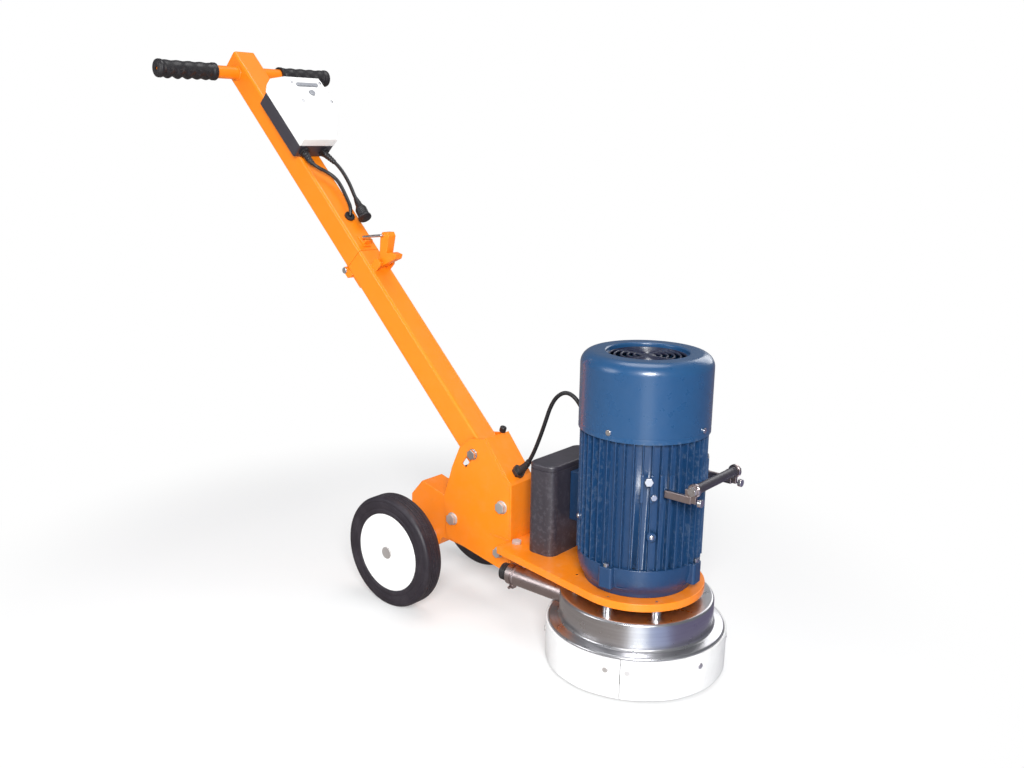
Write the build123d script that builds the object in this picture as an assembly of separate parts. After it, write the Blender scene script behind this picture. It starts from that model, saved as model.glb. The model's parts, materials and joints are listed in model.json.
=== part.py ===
from build123d import *
import math
import os

# Walk-behind single-disc concrete grinder with a folding handle.
# Millimetres, +X forward to the grinding head, +Y to the operator's left, +Z up.
# The layout is measured from the spindle axis, with the floor at z = 0.
# save() then moves everything so that the origin is under the middle of the machine.

SPINDLE_X = 441.0          # spindle axis in the part's own frame

# grinding head
DISC_R = 120.0             # 240 mm steel disc
DISC_BOTTOM = 14.0
DISC_TOP = 26.0
SKIRT_R = 147.0
SKIRT_WALL = 3.5
SKIRT_BOTTOM = 4.0
SKIRT_TOP = 70.0
HOOD_R = 125.0
HOOD_LIP_R = 143.2
HOOD_WALL = 2.5
HOOD_TOP = 119.5
HOOD_LIP_BOTTOM = 44.0
RIVET_Z = 50.0
RIVET_R = 2.4
SEAM_ANGLE = -65.3
STANDOFF_ANGLES = (-139, -84, -39, 39, 84, 139)
PORT_Y = -54.0
PORT_Z = 99.0
PORT_R = 17.0
PORT_END_X = -222.0

# base plate
PLATE_BOTTOM = 132.0
PLATE_TOP = 145.0
PLATE_R = 108.0
PLATE_REAR_HALF = 64.0

# motor
FLANGE_R = 86.0
SHIELD_TOP = 195.0
BARREL_R = 92.0
FIN_R = 100.5
FIN_COUNT = 44
BARREL_TOP = 398.0
COWL_R = 103.0
COWL_WALL = 1.6
COWL_BOTTOM = 396.0
COWL_TOP = 517.0
SHAFT_R = 14.0
LUG_ANGLE = -86.0
COWL_SCREW_ANGLE = -88.0
COWL_SCREW_Z = 409.0
COWL_SCREW_R = 2.5

# boxes behind the motor
BOX_FRONT = -145.0
BOX_REAR = -200.0
BOX_RIGHT = -42.0
BOX_LEFT = 98.0            # overhangs the plate's edge on the left
BOX_TOP = 304.0
BOX_CORNER = 16.0
TERMINAL_RIGHT = 6.0
TERMINAL_LEFT = 62.0
TERMINAL_BOTTOM = 202.0
TERMINAL_TOP = 288.0

# chassis
PLATE_GAP = 27.0           # half the gap between the side plates
SIDE_T = 4.0
WEB_REAR = -247.0
WEB_T = 4.0
WEB_BEND_Z = 245.0         # where the front web turns back along the column
COVER_TOP = (-306.0, 318.5)
AXLE_X = -440.0
WHEEL_R = 102.7
WHEEL_IN = 103.0
WHEEL_OUT = 143.0
AXLE_R = 8.0
AXLE_CAP_R = 11.0

# handle column: a 50 mm box section that leans back
LEAN = 45.5                # degrees above the horizontal
COLUMN_HALF = 25.0
COLUMN_WALL = 3.0
COLUMN_X = -353.0          # station 0 on the column's centre line
COLUMN_Z = 304.0
PIVOT_X = -264.0
PIVOT_Z = 203.0
PIVOT_BOLT_R = 6.0
INDEX_R = 106.8            # clamp bolt's distance from the pivot
INDEX_ANGLE = 129.3
TILT_RANGE = 16.0
FOLD_STATION = 418.6
FOLD_GAP = 0.6
HINGE_N = -33.0            # hinge axis behind the column's centre line
BAR_STATION = 905.0
TOP_STATION = 940.0
BAR_R = 12.5
BAR_HALF = 205.6
GRIP_R = 17.0
GRIP_START = 78.0

# side plate outline and the bolts through both plates: x, z, radius
SIDE_OUTLINE = [(WEB_REAR, 90), (-258, 84), (-398, 112), (-404.5, 190), (-395, 217), (-384, 251),
                (-366, 291), (-339, 313), COVER_TOP, (WEB_REAR, WEB_BEND_Z)]
CHASSIS_BOLTS = [(PIVOT_X, PIVOT_Z, PIVOT_BOLT_R), (-382, 151, 6.0), (-270, 117, 5.0)]

# switch box on the column's front
SWITCH_LOW = 655.0
SWITCH_HIGH = 797.0
SWITCH_HALF = 42.0
SWITCH_BASE_FRONT = 54.0
SWITCH_FRONT = 117.0
GLAND_Y = 24.0
GLAND_N = 40.0
COVER = [(SWITCH_BASE_FRONT, SWITCH_LOW), (SWITCH_BASE_FRONT, SWITCH_HIGH), (66, 804), (82, 804),
         (116, 775), (SWITCH_FRONT, 765), (SWITCH_FRONT, 706), (72, SWITCH_LOW)]
COVER_INSIDE = [(SWITCH_BASE_FRONT - 1, SWITCH_LOW + 3), (SWITCH_BASE_FRONT - 1, SWITCH_HIGH - 3),
                (66, 800), (80, 800), (113, 773), (SWITCH_FRONT - 3, 764), (SWITCH_FRONT - 3, 708),
                (71, SWITCH_LOW + 3)]
STOP_S = 754.0
START_S = 733.0

# latch across the fold
LEVER_S = 376.0
LEVER_N = 40.0
BAIL_S = 408.0
BAIL_N = 80.0
KEEPER_S = 440.0

# leads
LEAD_R = 3.5
GLAND_SEAT = (-258.3, -2.0, 259.0)    # in the chassis cover
GROMMET_S = 500.0
GROMMET_Y = 1.0
# Routes on the column are station, distance in front and y.
CONTROL_LEAD = [(646, 40, -24), (631, 40, -25), (614, 41, -18), (600, 41, 0), (582, 41, 12), (556, 40, 12),
                (529, 40, 7), (509, 40, 3), (500, 30, 1)]
MAINS_LEAD = [(646, 40, 24), (632, 41, 30), (612, 43, 35), (588, 43, 36), (562, 43, 33), (538, 43, 27),
              (518, 43, 24)]
MOTOR_CABLE = [(-245.8, -2, 269.0), (-234.9, -2, 277.8), (-222, -1, 299), (-209, 0, 330), (-197, 0, 362),
               (-187, 1, 393), (-174, 2, 414), (-156, 3, 424), (-139, 6, 417), (-127, 11, 397),
               (-120, 19, 368),
               (-117, 27, 340), (-119, 32, 316), (-121, 33, 298)]

lean = math.radians(LEAN)
UP = Vector(-math.cos(lean), 0, math.sin(lean))
FRONT = Vector(math.sin(lean), 0, math.cos(lean))
COLUMN = Plane(origin=(COLUMN_X, 0, COLUMN_Z), x_dir=FRONT, z_dir=UP)
# In the column's own frame x is towards the front, y to the left and z up the column.


def save(name, *solids):
    shape = solids[0] if len(solids) == 1 else Compound(children=list(solids))
    export_step(Pos(SPINDLE_X, 0, 0) * shape, f"parts/{name}.step")


def rod(start, end, radius):
    """Round bar between two points."""
    start, end = Vector(start), Vector(end)
    plane = Plane(origin=start, z_dir=end - start)
    return extrude(plane * Circle(radius), (end - start).length)


def tube(start, end, radius, bore):
    """Round tube between two points."""
    start, end = Vector(start), Vector(end)
    plane = Plane(origin=start, z_dir=end - start)
    return extrude(plane * (Circle(radius) - Circle(bore)), (end - start).length)


def hexagon(start, end, across):
    """Hexagonal bar between two points, with its size across the flats."""
    start, end = Vector(start), Vector(end)
    plane = Plane(origin=start, z_dir=end - start)
    face = plane * RegularPolygon(across / 2, 6, major_radius=False)
    return extrude(face, (end - start).length)


def block(x0, x1, y0, y1, z0, z1):
    """Box between two corners."""
    return Pos((x0 + x1) / 2, (y0 + y1) / 2, (z0 + z1) / 2) * Box(x1 - x0, y1 - y0, z1 - z0)


def slab(points, y0, y1):
    """Flat piece with an outline in x and z, from y0 to y1."""
    wire = Polyline(*[(x, 0, z) for x, z in points], close=True)
    return extrude(Pos(0, y0, 0) * make_face(wire), y1 - y0, dir=(0, 1, 0))


def turned(points):
    """Solid of revolution about the spindle from an outline in radius and height."""
    wire = Polyline(*[(r, 0, z) for r, z in points], close=True)
    return revolve(make_face(wire), Axis.Z)


def polar(radius, degrees, z=0.0):
    a = math.radians(degrees)
    return Vector(radius * math.cos(a), radius * math.sin(a), z)


def on_column(shape):
    return COLUMN.location * shape


def column_point(s, n, y):
    """Point at station s up the column, n in front of its centre line."""
    return Vector(COLUMN_X, y, COLUMN_Z) + UP * s + FRONT * n


# ---------------------------------------------------------------- grinding head

def base_plate():
    reach = math.hypot(WEB_REAR, PLATE_REAR_HALF)
    bearing = math.degrees(math.atan2(-PLATE_REAR_HALF, WEB_REAR))
    touch = polar(PLATE_R, bearing + math.degrees(math.acos(PLATE_R / reach)))
    x, y = touch.X, abs(touch.Y)
    tail = Polyline((WEB_REAR, -PLATE_REAR_HALF), (x, -y), (x, y), (WEB_REAR, PLATE_REAR_HALF), close=True)
    face = make_face(tail) + Circle(PLATE_R) - Circle(62)
    face -= [Pos(*p) * Circle(4.0) for p in standoff_places()]
    face -= [Pos(p.X, p.Y) * Circle(4.5) for p in plate_bolt_places()]
    return extrude(Pos(0, 0, PLATE_BOTTOM) * face, PLATE_TOP - PLATE_BOTTOM)


def standoff_places():
    places = [polar(98, a) for a in STANDOFF_ANGLES]
    return [(p.X, p.Y) for p in places]


def plate_bolt_places():
    return [Vector(-229, y, 0) for y in (-31, 31)]


def standoffs():
    parts = []
    for x, y in standoff_places():
        parts.append(tube((x, y, HOOD_TOP), (x, y, PLATE_BOTTOM), 8, 4.2))
        bolt = rod((x, y, HOOD_TOP - 8), (x, y, PLATE_TOP), 4.0)
        bolt += hexagon((x, y, HOOD_TOP - HOOD_WALL - 6), (x, y, HOOD_TOP - HOOD_WALL), 13)
        parts.append(bolt)
    return parts


def hood():
    w = HOOD_WALL
    outer = [(58, HOOD_TOP), (HOOD_R - 5, HOOD_TOP), (HOOD_R, HOOD_TOP - 5), (HOOD_R, 79)]
    outer += [(HOOD_R + 4, 75.5), (HOOD_LIP_R - 3, 73.5), (HOOD_LIP_R, 70.5), (HOOD_LIP_R, HOOD_LIP_BOTTOM)]
    inner = [(HOOD_LIP_R - w, HOOD_LIP_BOTTOM), (HOOD_LIP_R - w, 69.5), (HOOD_LIP_R - 4, 71), (HOOD_R + 3, 73)]
    inner += [(HOOD_R - w, 77.8), (HOOD_R - w, HOOD_TOP - 6), (HOOD_R - 6, HOOD_TOP - w), (58, HOOD_TOP - w)]
    shell = turned(outer + inner)
    shell -= rod((-80, PORT_Y, PORT_Z), (-180, PORT_Y, PORT_Z), PORT_R + 0.05)
    for x, y in standoff_places():
        shell -= rod((x, y, HOOD_TOP - 10), (x, y, HOOD_TOP + 5), 4.0)
    return shell - rivet_holes()


def dust_port():
    return tube((PORT_END_X, PORT_Y, PORT_Z), (-96, PORT_Y, PORT_Z), PORT_R, PORT_R - 2)


def port_cuff():
    start = PORT_END_X - 16
    return tube((start, PORT_Y, PORT_Z), (PORT_END_X + 12, PORT_Y, PORT_Z), PORT_R - 2, PORT_R - 4.5)


def port_clamp():
    x = PORT_END_X
    band = tube((x, PORT_Y, PORT_Z), (x + 10, PORT_Y, PORT_Z), PORT_R + 1.4, PORT_R)
    ear = block(x + 1, x + 9, PORT_Y - 5, PORT_Y + 5, PORT_Z - PORT_R - 8, PORT_Z - PORT_R - 0.8)
    screw = rod((x + 5, PORT_Y - 12, PORT_Z - PORT_R - 4.5), (x + 5, PORT_Y + 8, PORT_Z - PORT_R - 4.5), 2.5)
    return band + ear + screw


def rivet_angles():
    """A pair of rivets beside the seam, and the rest evenly round."""
    return [SEAM_ANGLE - 9] + [SEAM_ANGLE + 4.3 + 47 * i for i in range(7)]


def rivet_holes():
    return [rod(polar(HOOD_R, a, RIVET_Z), polar(SKIRT_R + 5, a, RIVET_Z), RIVET_R) for a in rivet_angles()]


def skirt():
    face = Circle(SKIRT_R) - Circle(SKIRT_R - SKIRT_WALL)
    seam = Rot(0, 0, SEAM_ANGLE) * Pos(SKIRT_R, 0) * Rectangle(20, 1.2)
    return extrude(Pos(0, 0, SKIRT_BOTTOM) * (face - seam), SKIRT_TOP - SKIRT_BOTTOM) - rivet_holes()


def skirt_rivets():
    """Pop rivets through the skirt and the hood's lip."""
    bore = HOOD_LIP_R - HOOD_WALL - 0.1
    rivets = []
    for a in rivet_angles():
        rivet = rod(polar(bore - 1.5, a, RIVET_Z), polar(bore, a, RIVET_Z), 3.6)
        rivet += rod(polar(bore - 1, a, RIVET_Z), polar(SKIRT_R + 1, a, RIVET_Z), RIVET_R)
        rivet += rod(polar(SKIRT_R, a, RIVET_Z), polar(SKIRT_R + 1.6, a, RIVET_Z), 4.5)
        rivets.append(rivet)
    return rivets


# ---------------------------------------------------------------- spindle

def motor_shaft():
    shaft = rod((0, 0, 44), (0, 0, 398), SHAFT_R)
    shaft += rod((0, 0, 398), (0, 0, 474), 12.5)
    return shaft


def rotor_core():
    core = tube((0, 0, 236), (0, 0, 344), 51.2, SHAFT_R)
    core += tube((0, 0, 226), (0, 0, 354), 46, 34)
    return core


def cooling_fan():
    fan = tube((0, 0, 432), (0, 0, 470), 22, 12.5)
    fan += tube((0, 0, 432), (0, 0, 435), 82, 20)
    for i in range(8):
        fan += Rot(0, 0, 45 * i) * block(21, 88, -1.5, 1.5, 434, 466)
    return fan


def drive_hub():
    hub = tube((0, 0, 44), (0, 0, 96), 26, SHAFT_R)
    hub += rod((0, 0, DISC_TOP), (0, 0, 38), 46)
    hub += rod((0, 0, 38), (0, 0, 44), 26)
    for a in range(0, 360, 60):
        hub -= rod(polar(36, a, DISC_TOP - 1), polar(36, a, 40), 4.0)
    return hub


def grinding_disc():
    disc = rod((0, 0, DISC_BOTTOM), (0, 0, DISC_TOP), DISC_R)
    disc = chamfer(disc.edges().filter_by(GeomType.CIRCLE), 1.0)
    for a in range(0, 360, 60):
        disc -= rod(polar(36, a, DISC_BOTTOM - 1), polar(36, a, DISC_TOP + 1), 4.0)
    disc -= rod((0, 0, DISC_BOTTOM - 1), (0, 0, DISC_TOP + 1), 12)
    return disc


def disc_bolts():
    bolts = []
    for a in range(0, 360, 60):
        bolt = rod(polar(36, a, DISC_BOTTOM), polar(36, a, 38), 4.0)
        bolt += rod(polar(36, a, 38), polar(36, a, 45), 6.5)
        bolts.append(bolt)
    return bolts


def diamond_segments():
    """Six bolted shoes, each with two sintered bars that touch the floor."""
    shoes = []
    for a in range(0, 360, 60):
        shoe = Pos(84, 0, 11) * Box(56, 30, 6)
        for y in (-8, 8):
            shoe += Pos(84, y, 4) * Box(44, 9, 8)
        shoes.append(Rot(0, 0, a) * shoe)
    return shoes


# ---------------------------------------------------------------- motor

def drive_end_shield():
    outline = [(62, PLATE_TOP - 8), (62, PLATE_TOP), (FLANGE_R, PLATE_TOP), (FLANGE_R + 1, PLATE_TOP + 8)]
    outline += [(94, 164), (98, 180), (98, SHIELD_TOP), (84, SHIELD_TOP), (84, 172), (60, 160)]
    outline += [(30, 160), (30, 184), (26, 184), (26, 166), (20, 166), (20, PLATE_TOP - 8)]
    shield = turned(outline)
    for k in range(4):
        lug = Pos(97, 0, 178) * Box(18, 24, 34)
        lug -= Pos(97, 0, 178) * Box(18, 24, 34).move(Location((-14, 0, 0)))
        lug = fillet(lug.edges().filter_by(Axis.Z).group_by(Axis.X)[-1], 5)
        shield += Rot(0, 0, LUG_ANGLE + 90 * k) * lug
    return shield


def stator_housing():
    barrel = Circle(BARREL_R) - Circle(85.5)
    for i in range(FIN_COUNT):
        fin = Pos((BARREL_R + FIN_R) / 2 - 1, 0) * Rectangle(FIN_R - BARREL_R + 2, 2.6)
        barrel += Rot(0, 0, i * 360 / FIN_COUNT) * fin
    return extrude(Pos(0, 0, SHIELD_TOP) * barrel, BARREL_TOP - SHIELD_TOP)


def stator_core():
    return tube((0, 0, 236), (0, 0, 344), 85.4, 52.2)


def stator_windings():
    low = tube((0, 0, 214), (0, 0, 235.5), 80, 57)
    high = tube((0, 0, 344.5), (0, 0, 366), 80, 57)
    return [low, high]


def fan_end_shield():
    outline = [(26, 384), (26, 398), (20.9, 398), (20.9, 412), (36, 412), (36, 404), (BARREL_R, 404)]
    outline += [(BARREL_R, BARREL_TOP), (36, BARREL_TOP), (32, 384)]
    shield = turned(outline)
    for k in range(4):
        boss = block(BARREL_R - 6, FIN_R, -9, 9, BARREL_TOP, 417)
        shield += Rot(0, 0, COWL_SCREW_ANGLE + 90 * k) * boss
    return shield - cowl_screw_holes()


def cowl_screw_holes():
    angles = [COWL_SCREW_ANGLE + 90 * k for k in range(4)]
    return [rod(polar(FIN_R - 6, a, COWL_SCREW_Z), polar(COWL_R + 5, a, COWL_SCREW_Z), COWL_SCREW_R)
            for a in angles]


def motor_bearings():
    bore = SHAFT_R + 0.05
    low = tube((0, 0, 166.5), (0, 0, 182), 26, bore)
    high = tube((0, 0, 384), (0, 0, 397.5), 26, bore)
    return [low, high]


def fan_cowl():
    w = COWL_WALL
    r = COWL_R
    t = COWL_TOP
    corner = [(r - 20 * (1 - math.cos(math.radians(a))), t - 20 + 20 * math.sin(math.radians(a)))
              for a in range(0, 91, 15)]
    inside = [(r - w - 18.4 * (1 - math.cos(math.radians(a))), t - 20 + 18.4 * math.sin(math.radians(a)))
              for a in range(90, -1, -15)]
    cup = turned([(r, COWL_BOTTOM)] + corner
                 + [(66, t), (62, t - 5), (0, t - 5), (0, t - 7), (61, t - 7), (64.5, t - w)]
                 + inside + [(r - w, COWL_BOTTOM)])
    slots = []
    for ring in (16, 26, 36, 46, 56):
        for k in range(4):
            arc = Circle(ring + 3.2) - Circle(ring - 3.2)
            arc &= Rot(0, 0, 45 + 90 * k) * Pos(40, 0) * Polygon((-40, 0), (60, 95), (60, -95), align=None)
            slots.append(extrude(Pos(0, 0, t - 9) * arc, 6))
    return cup - slots - cowl_screw_holes()


def motor_bolts():
    """Cowl screws and the bolts through the lower lugs."""
    bolts = []
    for k in range(4):
        a = COWL_SCREW_ANGLE + 90 * k
        screw = rod(polar(FIN_R - 6, a, COWL_SCREW_Z), polar(COWL_R, a, COWL_SCREW_Z), COWL_SCREW_R)
        bolts.append(screw + rod(polar(COWL_R, a, COWL_SCREW_Z), polar(COWL_R + 2.5, a, COWL_SCREW_Z), 4.5))
        a = LUG_ANGLE + 90 * k
        centre = polar(101, a)
        x, y = centre.X, centre.Y
        bolts.append(hexagon((x, y, 195), (x, y, 201), 8))
    return bolts


def terminal_box():
    y0, y1 = TERMINAL_RIGHT, TERMINAL_LEFT
    box = block(BOX_FRONT, -76, y0, y1, TERMINAL_BOTTOM, TERMINAL_TOP)
    box -= block(BOX_FRONT + 3, -70, y0 + 4, y1 - 4, TERMINAL_BOTTOM + 4, TERMINAL_TOP - 4)
    box -= rod((0, 0, 100), (0, 0, 400), FIN_R + 0.05)
    return box


def capacitor_cover():
    shell = block(BOX_REAR, BOX_FRONT, BOX_RIGHT, BOX_LEFT, PLATE_TOP, BOX_TOP)
    shell = fillet(shell.edges().filter_by(Axis.Z), BOX_CORNER)
    shell = chamfer(shell.faces().sort_by(Axis.Z)[-1].edges(), 3)
    inside = block(BOX_REAR + 3, BOX_FRONT - 3, BOX_RIGHT + 3, BOX_LEFT - 3, PLATE_TOP + 3, BOX_TOP - 6)
    shell -= fillet(inside.edges().filter_by(Axis.Z), BOX_CORNER - 3)
    return shell


def capacitors():
    return [rod((-172.5, y, PLATE_TOP + 3), (-172.5, y, 268), 20) for y in (-10, 66)]


def lift_handle_arms():
    arms = []
    for side in (-1, 1):
        ring = (Circle(104.5) - Circle(FIN_R)) & (Pos(72, side * 80) * Rectangle(40, 60))
        pad = extrude(Pos(0, 0, 306) * ring, 44)
        y0, y1 = sorted((side * 58, side * 64))
        arm = block(80, 128, y0, y1, 314, 328) - rod((0, 0, 250), (0, 0, 400), FIN_R)
        head = block(121, 137, y0, y1, 312, 347)
        head = fillet(head.edges().filter_by(Axis.Y), 5)
        arms.append(pad + arm + head)
    return arms


def lift_handle_grip():
    return rod((129, -57.9, 337), (129, 57.9, 337), 8)


def lift_handle_bolts():
    bolts = []
    for side in (-1, 1):
        bolts.append(hexagon((129, side * 64, 337), (129, side * 70, 337), 13))
        bolts.append(rod((137, side * 61, 320), (143, side * 61, 320), 6))
        for a, z, across in ((52, 341, 12), (47.5, 317, 9)):
            bolts.append(hexagon(polar(104.5, side * a, z), polar(109.5, side * a, z), across))
    return bolts


# ---------------------------------------------------------------- chassis and wheels

def tilt_slot():
    """Curved slot for the clamp bolt, centred on the tilt pivot."""
    points = []
    for radius, order in ((INDEX_R + 5.5, 1), (INDEX_R - 5.5, -1)):
        for i in list(range(9))[::order]:
            a = math.radians(INDEX_ANGLE - 3.5 + i * (TILT_RANGE + 7) / 8)
            points.append((PIVOT_X + radius * math.cos(a), PIVOT_Z + radius * math.sin(a)))
    return points


def side_plate(side):
    y0, y1 = sorted((side * PLATE_GAP, side * (PLATE_GAP + SIDE_T)))
    plate = slab(SIDE_OUTLINE, y0, y1)
    plate -= slab(tilt_slot(), y0 - 1, y1 + 1)
    for x, z, radius in CHASSIS_BOLTS:
        plate -= rod((x, y0 - 1, z), (x, y1 + 1, z), radius)
    return plate


def chassis_bolts():
    bolts = []
    face = PLATE_GAP + SIDE_T
    for x, z, radius in CHASSIS_BOLTS:
        bolt = rod((x, -face - 2, z), (x, face + 2, z), radius)
        for side in (-1, 1):
            bolt += rod((x, side * face, z), (x, side * (face + 1.6), z), radius * 2.0)
            bolt += hexagon((x, side * (face + 1.6), z), (x, side * (face + 8), z), radius * 3.1)
        bolts.append(bolt)
    for p in plate_bolt_places():
        bolt = rod((p.X, p.Y, 118), (p.X, p.Y, PLATE_TOP + 1), 4.5)
        bolt += hexagon((p.X, p.Y, PLATE_TOP), (p.X, p.Y, PLATE_TOP + 6), 15)
        bolt += hexagon((p.X, p.Y, 116), (p.X, p.Y, 123), 15)
        bolts.append(bolt)
    return bolts


def front_web():
    half = PLATE_GAP + SIDE_T
    x, z = COVER_TOP
    slope = math.hypot(x - WEB_REAR, z - WEB_BEND_Z)
    out = Vector((z - WEB_BEND_Z) / slope, 0, (WEB_REAR - x) / slope) * WEB_T
    outline = [(WEB_REAR, PLATE_TOP), (WEB_REAR, WEB_BEND_Z), COVER_TOP, (x + out.X, z + out.Z),
               (WEB_REAR + WEB_T, WEB_BEND_Z + 1.8), (WEB_REAR + WEB_T, PLATE_TOP)]
    upper = slab(outline, -half, half)
    gx, gy, gz = GLAND_SEAT
    upper -= rod((gx - out.X * 2, gy, gz - out.Z * 2), (gx + out.X * 2, gy, gz + out.Z * 2), 8.5)
    upper -= bump_stop()
    lower = block(WEB_REAR, WEB_REAR + WEB_T, -half, half, 86, PLATE_BOTTOM)
    flange = block(WEB_REAR + 1, -210, -44, 44, 123, PLATE_BOTTOM)
    for p in plate_bolt_places():
        flange -= rod((p.X, p.Y, 100), (p.X, p.Y, 150), 4.5)
    return [upper, lower + flange]


def bump_stop():
    """Rubber buffer on the cover's top edge."""
    return rod((-308, 19, 321), (-304.5, 19, 331), 6)


def axle_carrier():
    outline = [(-345, 100), (-345, 173), (-465, 204), (-493, 172), (-493, 128), (-458, 86), (-424, 86),
               (-412, 105)]
    box = slab(outline, -PLATE_GAP + 0.3, PLATE_GAP - 0.3)
    inner = [(-340, 106), (-340, 168), (-463, 199), (-488, 170), (-488, 130), (-455.5, 91), (-427, 91),
             (-415, 110)]
    box -= slab(inner, -PLATE_GAP + 5, PLATE_GAP - 5)
    box -= rod((AXLE_X, -60, WHEEL_R), (AXLE_X, 60, WHEEL_R), AXLE_R)
    box -= rod((-382, -60, 151), (-382, 60, 151), 6.0)
    return box


def axle():
    end = WHEEL_OUT - 1.6
    shaft = rod((AXLE_X, -end, WHEEL_R), (AXLE_X, end, WHEEL_R), AXLE_R)
    parts = [shaft]
    for side in (-1, 1):
        inner = PLATE_GAP + 0.2
        hub_face = (AXLE_X, side * (WHEEL_IN - 1), WHEEL_R)
        parts.append(tube((AXLE_X, side * inner, WHEEL_R), hub_face, 14, AXLE_R))
        cap_start, cap_end = side * (WHEEL_OUT - 1.6), side * (WHEEL_OUT + 1)
        cap = rod((AXLE_X, cap_start, WHEEL_R), (AXLE_X, cap_end, WHEEL_R), AXLE_CAP_R)
        parts.append(cap)
    return parts


def tyre(side):
    half = (WHEEL_OUT - WHEEL_IN) / 2
    r0, r1 = 72.0, WHEEL_R
    outline = [(r0, -half + 2), (r0 + 8, -half), (r1 - 12, -half + 0.5), (r1 - 4, -half + 4), (r1, -half + 11)]
    outline += [(r1, half - 11), (r1 - 4, half - 4), (r1 - 12, half - 0.5), (r0 + 8, half), (r0, half - 2)]
    ring = turned(outline)
    return Pos(AXLE_X, side * (WHEEL_IN + half), WHEEL_R) * Rot(90, 0, 0) * ring


def wheel_disc(side):
    half = (WHEEL_OUT - WHEEL_IN) / 2
    outline = [(AXLE_R + 0.05, -half), (22, -half), (22, -6), (60, -8), (64, -half + 2), (72, -half + 2)]
    outline += [(72, half - 2), (68, half - 2), (63, half - 6), (30, half - 3), (24, half - 2)]
    outline += [(AXLE_R + 0.05, half - 2)]
    disc = turned(outline)
    turn = 90 if side < 0 else -90
    return Pos(AXLE_X, side * (WHEEL_IN + half), WHEEL_R) * Rot(turn, 0, 0) * disc


# ---------------------------------------------------------------- handle

def pivot_station():
    rel = Vector(PIVOT_X - COLUMN_X, 0, PIVOT_Z - COLUMN_Z)
    return rel.dot(UP), rel.dot(FRONT)


def box_section(low, high):
    h = COLUMN_HALF
    w = COLUMN_WALL
    outer = block(-h, h, -h, h, low, high)
    outer = fillet(outer.edges().filter_by(Axis.Z), 5)
    return outer - block(-h + w, h - w, -h + w, h - w, low + w, high - w)


def lower_column():
    s0, n0 = pivot_station()
    top = FOLD_STATION - FOLD_GAP / 2
    beam = box_section(s0 - 20, top)
    beam -= block(-40, 40, -40, 40, s0 - 40, s0)
    beam += block(-COLUMN_HALF + 1, COLUMN_HALF - 1, -COLUMN_HALF + 1, COLUMN_HALF - 1, s0, s0 + 8)
    beam += rod((n0, -COLUMN_HALF, s0), (n0, COLUMN_HALF, s0), 15)
    beam -= rod((n0, -40, s0), (n0, 40, s0), PIVOT_BOLT_R + 0.05)
    angle = math.radians(INDEX_ANGLE)
    forward = PIVOT_X + INDEX_R * math.cos(angle) - COLUMN_X
    rel = Vector(forward, 0, PIVOT_Z + INDEX_R * math.sin(angle) - COLUMN_Z)
    beam -= rod((rel.dot(FRONT), -40, rel.dot(UP)), (rel.dot(FRONT), 40, rel.dot(UP)), 5.0)
    leaf = block(-COLUMN_HALF - 5, -COLUMN_HALF, -20, 20, 372, 408)
    beam += leaf
    for y0, y1 in ((-25, -9), (9, 25)):
        beam += block(HINGE_N, -COLUMN_HALF + 2, y0, y1, 400, 412)
        beam += rod((HINGE_N, y0, FOLD_STATION), (HINGE_N, y1, FOLD_STATION), 7)
        beam += block(HINGE_N - 6, HINGE_N + 6, y0, y1, 404, FOLD_STATION)
    beam -= rod((HINGE_N, -30, FOLD_STATION), (HINGE_N, 30, FOLD_STATION), 4)
    for y0, y1 in ((-19, -15), (15, 19)):
        lug = block(COLUMN_HALF - 1, LEVER_N + 7, y0, y1, LEVER_S - 9, LEVER_S + 9)
        beam += fillet(lug.edges().filter_by(Axis.Y).group_by(Axis.X)[-1], 6)
    beam += rod((LEVER_N, -19, LEVER_S), (LEVER_N, 19, LEVER_S), 3.5)
    limit = on_column_cut(-249.0)
    return on_column(beam) - limit


def on_column_cut(x):
    """Everything in front of x, low on the column, which the front web needs."""
    return block(x, x + 60, -60, 60, 120, 240)


def index_bolt():
    angle = math.radians(INDEX_ANGLE)
    x = PIVOT_X + INDEX_R * math.cos(angle)
    z = PIVOT_Z + INDEX_R * math.sin(angle)
    face = PLATE_GAP + SIDE_T + 0.3
    bolt = rod((x, -face - 2, z), (x, face + 2, z), 5.0)
    for side in (-1, 1):
        bolt += rod((x, side * face, z), (x, side * (face + 2), z), 10)
        bolt += hexagon((x, side * (face + 2), z), (x, side * (face + 8), z), 16)
    return bolt


def hinge_pin():
    pin = rod((HINGE_N, -26, FOLD_STATION), (HINGE_N, 26, FOLD_STATION), 4)
    pin += rod((HINGE_N, -28, FOLD_STATION), (HINGE_N, -25, FOLD_STATION), 6)
    pin += rod((HINGE_N, 25, FOLD_STATION), (HINGE_N, 28, FOLD_STATION), 6)
    return on_column(pin)


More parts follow.
